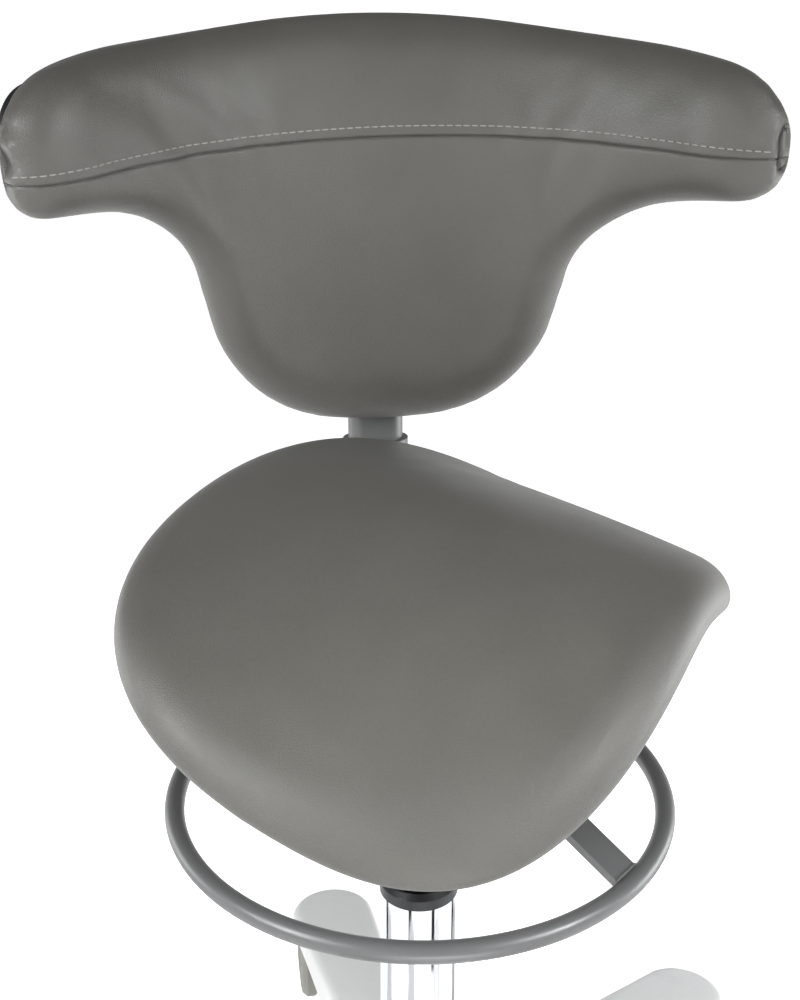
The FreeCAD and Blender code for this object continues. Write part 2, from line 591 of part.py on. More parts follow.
# Backrest support, drawn along +X and then turned to the backrest's heading.
back_top = s.back_low + s.back_tall
wing_top = back_top - s.wing_fall
wing_low = wing_top - s.wing_deep
bracket_low = s.back_low + s.bracket_rise
bracket_high = bracket_low + s.bracket_tall
screw_heights = (bracket_low + s.back_screw_edge, bracket_high - s.back_screw_edge)
post_high = bracket_high + s.post_spare
post_face = s.post_x - s.post_round
bend_x = post_face - s.bracket_thick - s.shell_thick - s.pad_thick - s.bend_radius
swing = tube("swing_collar", s.bearing_radius + s.fit_gap, s.swing_radius, s.swing_low, s.swing_high)
keep(head_for(swing, s.back_turn))
sleeve_round = s.post_round + s.sleeve_wall
bar = prism("swing_arm_bar", "YZ_Plane", [rectangle(-s.bar_half, s.bar_half, s.bar_low, s.bar_high)],
            s.post_x - sleeve_round - s.bearing_radius, s.bearing_radius)
round_edges(bar, lambda edge: edge.BoundBox.XLength > 50, s.bar_edge)
collar_core = cylinder("collar_core", s.swing_radius, s.swing_high - s.swing_low, 0, 0, s.swing_low)
keep(head_for(cut("swing_arm", bar, [collar_core]), s.back_turn))
sleeve = prism("post_sleeve", "XY_Plane", [
    stadium(s.post_x, s.post_flat, sleeve_round), stadium(s.post_x, s.post_flat, s.post_round + s.fit_gap)],
    s.sleeve_high - s.sleeve_low, s.sleeve_low)
feature(sleeve, "Pocket", new_sketch(sleeve, "YZ_Plane", [
    (0, s.knob_z, s.knob_screw + s.fit_gap)], s.post_x), sleeve_round + 2, reverse=True)
keep(head_for(sleeve, s.back_turn))
knob = new_body("clamp_knob_blank")
turn(knob, "Revolution", [
    (s.post_x + s.post_round + 0.4, 0), (s.knob_end, 0), (s.knob_end, s.knob_radius - s.knob_bevel),
    (s.knob_end - s.knob_bevel, s.knob_radius), (s.knob_start + s.knob_bevel, s.knob_radius),
    (s.knob_start, s.knob_radius - s.knob_bevel), (s.knob_start, s.knob_screw),
    (s.post_x + s.post_round + 0.4, s.knob_screw)], "H_Axis", s.knob_z)
hollows = []
for number in range(6):
    angle = math.radians(60 * number)
    aside = (s.knob_radius + 3) * math.cos(angle)
    above = s.knob_z + (s.knob_radius + 3) * math.sin(angle)
    hollows.append(cylinder("knob_hollow_%d" % number, s.knob_scallop, s.knob_end - s.knob_start + 4,
                            s.knob_start - 2, aside, above, Vector(1, 0, 0)))
keep(head_for(cut("clamp_knob", knob, hollows), s.back_turn))
post = prism("post", "XY_Plane", [
    stadium(s.post_x, s.post_flat, s.post_round), stadium(s.post_x, s.post_flat, s.post_round - s.post_wall)],
    post_high - s.post_low, s.post_low)
for height in screw_heights:
    feature(post, "Pocket", new_sketch(post, "YZ_Plane", [(0, height, s.back_screw + s.fit_gap)], s.post_x),
            s.post_round * 2 + 4, symmetric=True)
keep(head_for(post, s.back_turn))
plugs = []
for name, depth, lip in (("top", post_high - s.plug_depth, post_high),
                         ("foot", s.post_low, s.post_low - s.plug_lip)):
    plug = prism("post_plug_" + name, "XY_Plane", [
        stadium(s.post_x, s.post_flat, s.post_round - s.post_wall)], s.plug_depth, depth)
    feature(plug, "Pad", new_sketch(plug, "XY_Plane", [
        stadium(s.post_x, s.post_flat, s.post_round)], lip), s.plug_lip)
    plugs.append(plug)
keep(head_for(group("post_plugs", plugs), s.back_turn))


def rounded(corners):
    """Closed wire through (y, z, radius) corners in the YZ plane, each corner rounded by an arc."""
    spots = [Vector(0, float(y), float(z)) for y, z, radius in corners]
    joints = []
    for i, (y, z, radius) in enumerate(corners):
        before = (spots[i - 1] - spots[i]).normalize()
        after = (spots[(i + 1) % len(spots)] - spots[i]).normalize()
        half = before.getAngle(after) / 2
        reach = float(radius) / math.tan(half)
        inward = (before + after).normalize()
        middle = spots[i] + inward * (float(radius) / math.sin(half) - float(radius))
        joints.append((spots[i] + before * reach, middle, spots[i] + after * reach))
    sides = []
    for i, (start, middle, stop) in enumerate(joints):
        sides.append(Part.Arc(start, middle, stop).toShape())
        sides.append(Part.makeLine(stop, joints[(i + 1) % len(joints)][0]))
    return Part.Wire(sides)


def back_outline(inset):
    """T outline of the backrest, drawn in by inset. The wings run past the bend, which cuts them off."""
    top, low = float(back_top) - inset, float(s.back_low) + inset
    under = float(wing_low) + inset
    far = float(s.bend_radius + s.pad_thick + s.shell_thick) * 1.05
    reach = float(s.bend_radius + s.pad_thick / 2) * math.sin(math.radians(float(s.wing_angle)))
    fall = float(s.wing_fall) * far / reach
    stem, foot = float(s.stem_share) * reach, float(s.foot_share) * reach
    corner = float(s.shell_thick)
    right = [(far, top - fall, corner), (far, under + far * 0.025, corner),
             (stem - inset, under, float(s.armpit_round) + inset),
             (foot - inset, low + 4, foot - inset)]
    left = [(-y, z, radius) for y, z, radius in reversed(right)]
    return [(0, top, stem * 5)] + right + [(0, low, stem * 2)] + left


def bent(inner, outer, angle, inset):
    """Part of an upright ring between two radii, cut to the T outline and rounded at the wing tips."""
    axis = Vector(float(bend_x), 0, 0)
    low, high = float(s.back_low) - inner, float(back_top) + inner
    section = Part.makePolygon([axis + Vector(r, 0, z) for r, z in (
        (inner, low), (outer, low), (outer, high), (inner, high), (inner, low))])
    band = Part.Face(section).revolve(axis, UP, 2 * angle)
    band.rotate(axis, UP, -angle)
    shape = Part.Face(rounded(back_outline(inset))).extrude(Vector(outer * 2, 0, 0)).common(band)
    middle = float(wing_top - s.wing_deep / 2)

    def tips(upper):
        return [e for e in shape.Edges if abs(e.Length - (outer - inner)) < 0.5
                and abs(e.CenterOfMass.y) > outer / 2 and (e.CenterOfMass.z > middle) == upper]

    shape = shape.makeFillet(float(s.wing_deep * s.tip_share_top) - inset * 1.5, tips(True))
    return shape.makeFillet(float(s.wing_deep * s.tip_share_low) - inset * 1.5, tips(False))


def made_of(label, shape):
    made = doc.addObject("Part::Feature", label)
    made.Shape = shape
    return made


def on_bend(edge, radius):
    """True for an edge of the front or rear face of a bent piece."""
    first, last = edge.ParameterRange
    points = [edge.valueAt(first + (last - first) * share) for share in (0.1, 0.5, 0.9)]
    return all(abs(math.hypot(p.x - float(bend_x), p.y) - radius) < 0.05 for p in points)


front = float(s.bend_radius)
rear = front + float(s.pad_thick)
pad = bent(front, rear, float(s.wing_angle), 0)
pad = pad.makeFillet(float(s.pad_front_edge), [e for e in pad.Edges if on_bend(e, front)])
pad = pad.makeFillet(float(s.pad_rear_edge), [e for e in pad.Edges if on_bend(e, rear)])
keep(head_for(made_of("backrest_cushion", pad), s.back_turn))
shell_rear = rear + float(s.shell_thick)
shell = made_of("backrest_shell_blank", bent(rear, shell_rear, float(s.shell_angle), float(s.shell_inset)))
holes = []
for name, height in zip(("low", "high"), screw_heights):
    holes.append(cylinder("back_hole_" + name, s.back_screw, s.post_x, 0, 0, height, Vector(1, 0, 0)))
keep(head_for(cut("backrest_shell", shell, holes), s.back_turn))
plate = prism("bracket_blank", "YZ_Plane", [
    rectangle(-s.bracket_half, s.bracket_half, bracket_low, bracket_high)],
    s.post_round + s.bracket_thick, post_face - s.post_round - s.bracket_thick)
hull = cylinder("shell_hull", s.bend_radius + s.pad_thick + s.shell_thick, back_top, bend_x, 0, 0)
keep(head_for(cut("backrest_bracket", plate, [hull] + holes), s.back_turn))
screws = []
for name, height in zip(("low", "high"), screw_heights):
    screw = new_body("back_screw_" + name)
    tip = bend_x + s.bend_radius + s.pad_thick + 0.5
    seat = s.post_x + s.post_round
    turn(screw, "Revolution", [
        (tip, 0), (seat + 3, 0), (seat + 3, s.back_screw_head - 1), (seat + 2, s.back_screw_head),
        (seat, s.back_screw_head), (seat, s.back_screw), (tip, s.back_screw)], "H_Axis", height)
    screws.append(screw)
keep(head_for(group("backrest_screws", screws), s.back_turn))


def seat_height(x, y):
    """Height of the saddle's upper surface: a ridge along the seat, flaps falling off at the sides."""
    ahead = -y / float(s.seat_front if y < 0 else s.seat_rear)
    fall = float(s.front_fall if y < 0 else s.rear_fall) * ahead ** 2
    power = float(s.flap_power) / 2
    soft = float(s.ridge_soft) ** 2
    arch = (x * x + soft) ** power - soft ** power
    arch /= (float(s.seat_half) ** 2 + soft) ** power - soft ** power
    drop = float(s.flap_drop) * arch * (1 + float(s.flap_skew) * ahead)
    return float(s.seat_top) + float(s.seat_pitch) * y - fall - drop


def saddle_face(lower):
    """The saddle surface, set lower by the given distance."""
    grid = [[Vector(x, y, seat_height(x, y) - lower) for y in range(-190, 170, 35)]
            for x in range(-230, 231, 46)]
    surface = Part.BSplineSurface()
    surface.interpolate(grid)
    return surface.toShape()


def seat_ring(grow, scale=1, depth=0, level=None):
    """Closed curve round the seat's plan outline, grown by a distance and then scaled. It lies below
    the saddle surface by depth, or flat at a level."""
    points = []
    for step in range(32):
        angle = 2 * math.pi * step / 32
        ahead, aside = math.cos(angle), math.sin(angle)
        length = float(s.seat_front if ahead > 0 else s.seat_rear) + grow
        wide = float(s.seat_half) * (1 + float(s.seat_flare) * ahead) + grow
        power = float(s.seat_power)
        reach = scale * (abs(ahead / length) ** power + abs(aside / wide) ** power) ** (-1 / power)
        x, y = aside * reach, -ahead * reach
        points.append(Vector(x, y, seat_height(x, y) - depth if level is None else level))
    curve = Part.BSplineCurve()
    curve.interpolate(Points=points, PeriodicFlag=True, Parameters=[step / 32 for step in range(33)])
    return Part.Wire(curve.toShape())


def slab(lower, thick):
    return saddle_face(lower).extrude(UP * -thick)


# Saddle seat: the cushion and its pan share one surface formula.
thick = float(s.cushion_thick)
roll = float(s.seat_roll)
floor_level = float(s.boss_low) - 60
rings = [seat_ring(0, 0.05, level=float(s.seat_top))]
rings += [seat_ring(0, scale) for scale in (0.2, 0.36, 0.52, 0.67, 0.8, 0.91)]
for angle in (90, 66, 42, 18, -6, -30, -54):
    swell = math.radians(angle)
    rings.append(seat_ring(roll * math.cos(swell), depth=roll * (1 - math.sin(swell))))
rings.append(seat_ring(-roll / 4, depth=thick * 1.03))
rings.append(seat_ring(-roll / 4, level=floor_level))
cushion = Part.makeLoft(rings, True, True).cut(slab(thick, thick * 6))
cushion = max(cushion.Solids, key=lambda solid: solid.CenterOfMass.z)
keep(made_of("seat_cushion", cushion))
pan_under = thick + float(s.pan_thick)
pan_column = Part.Face(seat_ring(roll - float(s.pan_inset), level=floor_level)).extrude(UP * thick * 6)
pan = made_of("seat_pan_blank", pan_column.common(slab(thick, float(s.pan_thick))))
corners = [(i, j) for i in (-1, 1) for j in (-1, 1)]
bores = []
for i, j in corners:
    bores.append(cylinder("seat_bore_%d" % len(bores), s.screw_radius, s.screw_high - s.plate_high + 0.5,
                          s.screw_x * i, s.screw_y * j, s.plate_high))
keep(cut("seat_pan", pan, bores))
blocks = []
for i, j in corners:
    spot = Vector(float(s.screw_x * i), float(s.screw_y * j), float(s.plate_high))
    post_blank = Part.makeCylinder(float(s.block_round), thick, spot)
    solid = post_blank.common(slab(pan_under + float(s.fit_gap) * 3, thick * 2))
    blank = made_of("mounting_blank", solid)
    blocks.append(cut("mounting_block_%d" % len(blocks), blank, [bores[len(blocks)]]))
keep(group("mounting_blocks", blocks))
screws = []
for i, j in corners:
    screw = turned("seat_screw_%d" % len(screws), [
        (0, s.plate_low - 4), (s.screw_head, s.plate_low - 4), (s.screw_head, s.plate_low),
        (s.screw_radius, s.plate_low), (s.screw_radius, s.screw_high), (0, s.screw_high)])
    bind(screw, "Placement.Base.x", s.screw_x * i)
    bind(screw, "Placement.Base.y", s.screw_y * j)
    screws.append(screw)
keep(group("seat_screws", screws))

doc.recompute()
for thing in doc.Objects:
    if "Invalid" in thing.State or "Error" in thing.State:
        raise RuntimeError("%s did not recompute" % thing.Label)
os.makedirs("parts", exist_ok=True)
for thing in nodes:
    if thing.Shape.isNull() or not thing.Shape.isValid():
        raise RuntimeError("%s has no valid shape" % thing.Label)
    thing.Shape.exportStep("parts/%s.step" % thing.Label)
print(len(nodes), "nodes written")
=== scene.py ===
import math

import bmesh
import bpy
import numpy as np
from bpy.props import FloatProperty, FloatVectorProperty, PointerProperty
from mathutils import Matrix, Vector
from mathutils.bvhtree import BVHTree
from mathutils.noise import noise


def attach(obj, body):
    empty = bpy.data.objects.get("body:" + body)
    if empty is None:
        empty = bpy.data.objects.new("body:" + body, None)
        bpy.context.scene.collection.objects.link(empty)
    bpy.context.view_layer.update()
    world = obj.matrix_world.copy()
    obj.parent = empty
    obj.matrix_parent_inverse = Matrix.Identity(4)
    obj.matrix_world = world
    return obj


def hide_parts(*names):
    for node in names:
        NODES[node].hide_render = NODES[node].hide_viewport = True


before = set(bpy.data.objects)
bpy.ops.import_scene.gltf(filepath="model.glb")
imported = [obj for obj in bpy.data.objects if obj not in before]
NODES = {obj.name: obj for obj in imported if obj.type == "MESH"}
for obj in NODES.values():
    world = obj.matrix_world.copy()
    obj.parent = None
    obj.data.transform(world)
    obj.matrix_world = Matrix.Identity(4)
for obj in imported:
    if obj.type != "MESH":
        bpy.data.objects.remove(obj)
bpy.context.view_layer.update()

bl_info = {
    "name": "Saddle stool dressing",
    "version": (1, 0, 0),
    "blender": (4, 5, 0),
    "location": "View3D > Sidebar > Stool",
    "description": "Upholstery, seams and finishes for a saddle stool with a swing backrest",
    "category": "Object",
}


def linear(code):
    """sRGB hex code to linear red, green and blue."""
    parts = [int(code[i:i + 2], 16) / 255 for i in (1, 3, 5)]
    return tuple(c / 12.92 if c <= 0.04045 else ((c + 0.055) / 1.055) ** 2.4 for c in parts)


def colour(name, words, code):
    return FloatVectorProperty(name=name, description=words, subtype="COLOR", size=3, min=0, max=1,
                               default=linear(code))


def length(name, words, size):
    return FloatProperty(name=name, description=words, unit="LENGTH", default=size, min=0)


class StoolColours(bpy.types.PropertyGroup):
    """Colours of the stool's finishes."""
    leatherette: colour("Leatherette", "Cover of the seat and the backrest", "#55534e")
    thread: colour("Thread", "Topstitching on the backrest", "#a5a39d")
    silver: colour("Silver paint", "Foot ring, post and swing arm", "#6e6e6e")
    base: colour("Base", "Painted five-arm base", "#f0f0ef")
    charcoal: colour("Castor body", "Moulded castor bodies", "#3a3a3e")
    tyre: colour("Wheel", "Castor wheels", "#a9a79f")
    black: colour("Black plastic", "Collar, knob, plugs and backrest shell", "#1b1b1d")


class StoolSizes(bpy.types.PropertyGroup):
    """Sizes of the soft pieces and of what is sewn to them."""
    seat_top: length("Seat height", "Top of the saddle over the column", 0.5745)
    seat_front: length("Seat front", "Seat length forward of the column", 0.151)
    seat_rear: length("Seat rear", "Seat length behind the column", 0.1195)
    seat_half: length("Seat half width", "Half width of the saddle", 0.1845)
    seat_roll: length("Seat rim", "Radius of the padded rim", 0.017)
    seat_thick: length("Seat padding", "Thickness of the seat cushion", 0.042)
    flap_drop: length("Flap drop", "How far the saddle's flaps fall", 0.057)
    bend_axis: length("Bend axis", "Backrest's bend axis behind the sitter's side of the column", 0.051)
    pad_front: length("Pad front", "Front of the backrest from its bend axis", 0.241)
    seam_height: length("Seam height", "Height of the backrest's folded seam at its middle", 0.756)
    stitch_rise: length("Stitch line", "Topstitching above the folded seam", 0.0062)
    stitch_pitch: length("Stitch pitch", "Spacing of the topstitching", 0.0054)
    staple_pitch: length("Staple pitch", "Spacing of the staples under the seat", 0.016)
    puff_limit: length("Stuffing limit", "Most that stuffing may push the cover", 0.004)


def colours():
    return bpy.context.scene.stool_colours


def sizes():
    return bpy.context.scene.stool_sizes


def add(tree, kind, settings=None, **links):
    """Add one node with its settings, and values or links for its inputs."""
    node = tree.nodes.new(kind)
    for key, value in (settings or {}).items():
        setattr(node, key, value)
    for key, value in links.items():
        socket = node.inputs[int(key[1:])] if key[1:].isdigit() else node.inputs[key.replace("_", " ")]
        if isinstance(value, bpy.types.NodeSocket):
            tree.links.new(value, socket)
        else:
            socket.default_value = value
    return node


def blank(name):
    """New material with its shader and Object coordinates."""
    material = bpy.data.materials.new(name)
    material.use_nodes = True
    tree = material.node_tree
    return material, tree, tree.nodes["Principled BSDF"], add(tree, "ShaderNodeTexCoord").outputs["Object"]


def leatherette():
    """Vinyl-coated upholstery fabric, embossed with a fine leather grain and semi-matt: broad soft
    highlights, small pebbles about 1 mm wide, faint cloudiness, and painted shade along the seams' grooves."""
    name = "leatherette_embossed_vinyl"
    if name in bpy.data.materials:
        return bpy.data.materials[name]
    material, tree, shader, place = blank(name)
    base = colours().leatherette
    # Pebbles of the embossing are about 1.1 mm wide, drawn a little coarse so that they show.
    warp = add(tree, "ShaderNodeTexNoise", Vector=place, Scale=420.0, Detail=2.0)
    bend = add(tree, "ShaderNodeMix", {"data_type": "VECTOR"}, i0=0.0016, i4=place, i5=warp.outputs["Color"])
    cells = add(tree, "ShaderNodeTexVoronoi", {"feature": "DISTANCE_TO_EDGE"}, Vector=bend.outputs[1],
                Scale=880.0)
    pebble = add(tree, "ShaderNodeMapRange", {"interpolation_type": "SMOOTHSTEP"},
                 Value=cells.outputs["Distance"], From_Max=0.22)
    cloud = add(tree, "ShaderNodeTexNoise", Vector=place, Scale=26.0, Detail=4.0)
    # Painted shade: how dark the seams' grooves are painted, stored on the pad where its seams are pressed
    # in.
    seam_shade = add(tree, "ShaderNodeAttribute", {"attribute_name": "seam_shade"})
    shade = add(tree, "ShaderNodeMapRange", Value=cloud.outputs["Fac"], From_Min=0.3, From_Max=0.7,
                To_Min=0.95, To_Max=1.04)
    tint = add(tree, "ShaderNodeMix", {"data_type": "RGBA", "blend_type": "MULTIPLY"}, i0=1.0,
               i6=(*base, 1), i7=shade.outputs[0])
    valley = add(tree, "ShaderNodeMapRange", Value=pebble.outputs[0], To_Min=0.9, To_Max=1.0)
    grain = add(tree, "ShaderNodeMix", {"data_type": "RGBA", "blend_type": "MULTIPLY"}, i0=1.0,
                i6=tint.outputs[2], i7=valley.outputs[0])
    # Painted shade: along the folded seam's groove and in the end seams' slits, the colour darkens to 12 % of
    # the base colour, for the shade inside them.
    dark = add(tree, "ShaderNodeMix", {"data_type": "RGBA"}, i0=seam_shade.outputs["Fac"],
               i6=grain.outputs[2], i7=(*(c * 0.12 for c in base), 1))
    rough = add(tree, "ShaderNodeMapRange", Value=cloud.outputs["Fac"], From_Min=0.25, From_Max=0.75,
                To_Min=0.35, To_Max=0.43)
    bump = add(tree, "ShaderNodeBump", Strength=0.35, Distance=0.0003, Height=pebble.outputs[0])
    for socket, value in (("Base Color", dark.outputs[2]), ("Roughness", rough.outputs[0]),
                          ("Normal", bump.outputs[0])):
        tree.links.new(value, shader.inputs[socket])
    shader.inputs["IOR"].default_value = 1.55
    shader.inputs["Sheen Weight"].default_value = 0.05
    shader.inputs["Sheen Roughness"].default_value = 0.5
    return material


def thread():
    """Bonded polyester sewing thread, twisted: pale, slightly glossy strands."""
    name = "polyester_thread_twisted"
    if name in bpy.data.materials:
        return bpy.data.materials[name]
    material, tree, shader, place = blank(name)
    # The twist is about 0.6 mm long, near the limit of what the render shows.
    twist = add(tree, "ShaderNodeTexWave", {"bands_direction": "DIAGONAL"}, Vector=place, Scale=620.0,
                Distortion=1.0)
    tone = add(tree, "ShaderNodeMix", {"data_type": "RGBA"}, i0=twist.outputs["Fac"],
               i6=(*(c * 0.72 for c in colours().thread), 1), i7=(*colours().thread, 1))
    bump = add(tree, "ShaderNodeBump", Strength=0.4, Distance=0.0002, Height=twist.outputs["Fac"])
    tree.links.new(tone.outputs[2], shader.inputs["Base Color"])
    tree.links.new(bump.outputs[0], shader.inputs["Normal"])
    shader.inputs["Roughness"].default_value = 0.55
    return material


def coated_metal(name, base, rough, metallic, peel, wear):
    """Powder or wet paint on metal: even colour, orange peel about 2 mm wide and a few rubbed spots."""
    if name in bpy.data.materials:
        return bpy.data.materials[name]
    material, tree, shader, place = blank(name)
    orange = add(tree, "ShaderNodeTexNoise", Vector=place, Scale=480.0, Detail=2.0)
    fleck = add(tree, "ShaderNodeTexVoronoi", Vector=place, Scale=2600.0)
    cloud = add(tree, "ShaderNodeTexNoise", Vector=place, Scale=32.0, Detail=5.0)
    tone = add(tree, "ShaderNodeMapRange", Value=fleck.outputs["Distance"], From_Max=0.9, To_Min=1.08,
               To_Max=0.9)
    tint = add(tree, "ShaderNodeMix", {"data_type": "RGBA", "blend_type": "MULTIPLY"}, i0=1.0,
               i6=(*base, 1), i7=tone.outputs[0])
    rub = add(tree, "ShaderNodeMapRange", Value=cloud.outputs["Fac"], From_Min=0.62, From_Max=0.78)
    worn = add(tree, "ShaderNodeMath", {"operation": "MULTIPLY"}, i0=rub.outputs[0], i1=wear)
    shade = add(tree, "ShaderNodeMix", {"data_type": "RGBA"}, i0=worn.outputs[0], i6=tint.outputs[2],
                i7=(*(c * 0.7 for c in base), 1))
    gloss = add(tree, "ShaderNodeMapRange", Value=cloud.outputs["Fac"], From_Min=0.3, From_Max=0.7,
                To_Min=rough - 0.04, To_Max=rough + 0.06)
    bump = add(tree, "ShaderNodeBump", Strength=peel, Distance=0.0004, Height=orange.outputs["Fac"])
    for socket, value in (("Base Color", shade.outputs[2]), ("Roughness", gloss.outputs[0]),
                          ("Normal", bump.outputs[0])):
        tree.links.new(value, shader.inputs[socket])
    shader.inputs["Metallic"].default_value = metallic
    return material


def silver_paint():
    """Silver-grey powder coat on steel tube and flat bar."""
    return coated_metal("powder_coat_silver_grey", colours().silver, 0.36, 0.35, 0.10, 0.5)


def base_paint():
    """Light grey powder coat on cast aluminium."""
    return coated_metal("powder_coat_light_grey", colours().base, 0.32, 0.1, 0.12, 0.25)


def cast_metal():
    """Die-cast aluminium under thin dark paint, left from the mould: slightly rough."""
    return coated_metal("die_cast_aluminium_painted", linear("#3b3c3f"), 0.5, 0.3, 0.35, 0.6)


def bright_metal(name, base, rough, lines):
    """Bare or plated metal with fine turning lines round the upright axis."""
    if name in bpy.data.materials:
        return bpy.data.materials[name]
    material, tree, shader, place = blank(name)
    # Turning lines are a few hundredths of a millimetre; drawn at 1.2 mm so that they show.
    rings = add(tree, "ShaderNodeTexWave", {"bands_direction": "Z"}, Vector=place, Scale=260.0,
                Distortion=3.0, Detail=3.0, Detail_Scale=2.0)
    smear = add(tree, "ShaderNodeTexNoise", Vector=place, Scale=70.0, Detail=4.0)
    gloss = add(tree, "ShaderNodeMapRange", Value=smear.outputs["Fac"], From_Min=0.3, From_Max=0.7,
                To_Min=rough, To_Max=rough + 0.06)
    bump = add(tree, "ShaderNodeBump", Strength=lines, Distance=0.0001, Height=rings.outputs["Fac"])
    tree.links.new(gloss.outputs[0], shader.inputs["Roughness"])
    tree.links.new(bump.outputs[0], shader.inputs["Normal"])
    shader.inputs["Base Color"].default_value = (*base, 1)
    shader.inputs["Metallic"].default_value = 1.0
    return material


def chrome():
    """Chromium plating on drawn steel tube: a clear dark mirror with sharp upright streaks."""
    return bright_metal("chromium_plated_steel", linear("#d6d8db"), 0.05, 0.01)


def steel():
    """Ground steel of the gas spring and its pins."""
    return bright_metal("ground_steel", linear("#aeb0b2"), 0.22, 0.06)


def moulded(name, base, rough, size, depth):
    """Injection-moulded plastic with a spark-eroded texture: even, semi-matt, grains of a set size."""
    if name in bpy.data.materials:
        return bpy.data.materials[name]
    material, tree, shader, place = blank(name)
    grit = add(tree, "ShaderNodeTexNoise", Vector=place, Scale=1.0 / size, Detail=3.0, Roughness=0.6)
    dust = add(tree, "ShaderNodeTexNoise", Vector=place, Scale=40.0, Detail=4.0)
    tone = add(tree, "ShaderNodeMapRange", Value=dust.outputs["Fac"], From_Min=0.3, From_Max=0.7,
               To_Min=0.9, To_Max=1.12)
    tint = add(tree, "ShaderNodeMix", {"data_type": "RGBA", "blend_type": "MULTIPLY"}, i0=1.0,
               i6=(*base, 1), i7=tone.outputs[0])
    gloss = add(tree, "ShaderNodeMapRange", Value=grit.outputs["Fac"], From_Min=0.3, From_Max=0.7,
                To_Min=rough - 0.05, To_Max=rough + 0.08)
    bump = add(tree, "ShaderNodeBump", Strength=depth, Distance=0.0003, Height=grit.outputs["Fac"])
    for socket, value in (("Base Color", tint.outputs[2]), ("Roughness", gloss.outputs[0]),
                          ("Normal", bump.outputs[0])):
        tree.links.new(value, shader.inputs[socket])
    shader.inputs["IOR"].default_value = 1.5
    return material


def black_plastic():
    """Black ABS."""
    return moulded("abs_black_textured", colours().black, 0.42, 0.0011, 0.25)


def castor_plastic():
    """Charcoal polyamide."""
    return moulded("polyamide_charcoal", colours().charcoal, 0.40, 0.0009, 0.18)


def wheel_plastic():
    """Soft grey polyurethane tread on a polyamide disc."""
    return moulded("polyurethane_grey", colours().tyre, 0.48, 0.0014, 0.15)


def plywood():
    """Beech plywood, sanded and stained dark: long brown fibres and thin layers."""
    name = "beech_plywood_stained"
    if name in bpy.data.materials:
        return bpy.data.materials[name]
    material, tree, shader, place = blank(name)
    stretch = add(tree, "ShaderNodeMapping", Vector=place, Scale=(1.0, 0.06, 1.0))
    fibre = add(tree, "ShaderNodeTexNoise", Vector=stretch.outputs[0], Scale=420.0, Detail=5.0)
    # Veneers are 1.5 mm thick.
    layer = add(tree, "ShaderNodeTexWave", {"bands_direction": "Z"}, Vector=place, Scale=105.0,
                Distortion=0.6)
    blend = add(tree, "ShaderNodeMix", {"data_type": "RGBA"}, i0=fibre.outputs["Fac"],
                i6=(*linear("#4a3a2b"), 1), i7=(*linear("#7d6548"), 1))
    tone = add(tree, "ShaderNodeMapRange", Value=layer.outputs["Fac"], To_Min=0.75, To_Max=1.05)
    tint = add(tree, "ShaderNodeMix", {"data_type": "RGBA", "blend_type": "MULTIPLY"}, i0=1.0,
               i6=blend.outputs[2], i7=tone.outputs[0])
    bump = add(tree, "ShaderNodeBump", Strength=0.25, Distance=0.0003, Height=fibre.outputs["Fac"])
    tree.links.new(tint.outputs[2], shader.inputs["Base Color"])
    tree.links.new(bump.outputs[0], shader.inputs["Normal"])
    shader.inputs["Roughness"].default_value = 0.6
    return material


def finish(material, *names):
    """Give CAD nodes their finish."""
    for name in names:
        node = NODES[name]
        node.data.materials.clear()
        node.data.materials.append(material)


def dress(mesh, material):
    """Give a mesh its only material and smooth shading."""
    mesh.materials.clear()
    mesh.materials.append(material)
    mesh.polygons.foreach_set("use_smooth", [True] * len(mesh.polygons))
    mesh.update()


def new_object(name, mesh, material):
    """Put a finished mesh into the scene."""
    dress(mesh, material)
    piece = bpy.data.objects.new(name, mesh)
    bpy.context.scene.collection.objects.link(piece)
    return piece


def mesh_of(name, points, faces, edges=()):
    mesh = bpy.data.meshes.new(name)
    mesh.from_pydata([tuple(p) for p in points], list(edges), faces)
    mesh.update()
    return mesh


def band_faces(rings, sides):
    """Quads between closed rings of points that are listed one ring after the other."""
    faces = []
    for ring in range(rings - 1):
        low, high = ring * sides, (ring + 1) * sides
        for i in range(sides):
            j = (i + 1) % sides
            faces.append((low + i, low + j, high + j, high + i))
    return faces


def coordinates(mesh):
    """The mesh's points as an array of rows."""
    flat = np.empty(len(mesh.vertices) * 3)
    mesh.vertices.foreach_get("co", flat)
    return flat.reshape(-1, 3)


def move_points(mesh, points):
    """Put the mesh's points where the rows of an array say."""
    mesh.vertices.foreach_set("co", np.asarray(points, dtype=float).ravel())
    mesh.update()


def applied(piece):
    """Bake the object's modifiers into its mesh."""
    graph = bpy.context.evaluated_depsgraph_get()
    mesh = bpy.data.meshes.new_from_object(piece.evaluated_get(graph), depsgraph=graph)
    piece.modifiers.clear()
    old = piece.data
    piece.data = mesh
    bpy.data.meshes.remove(old)
    return piece


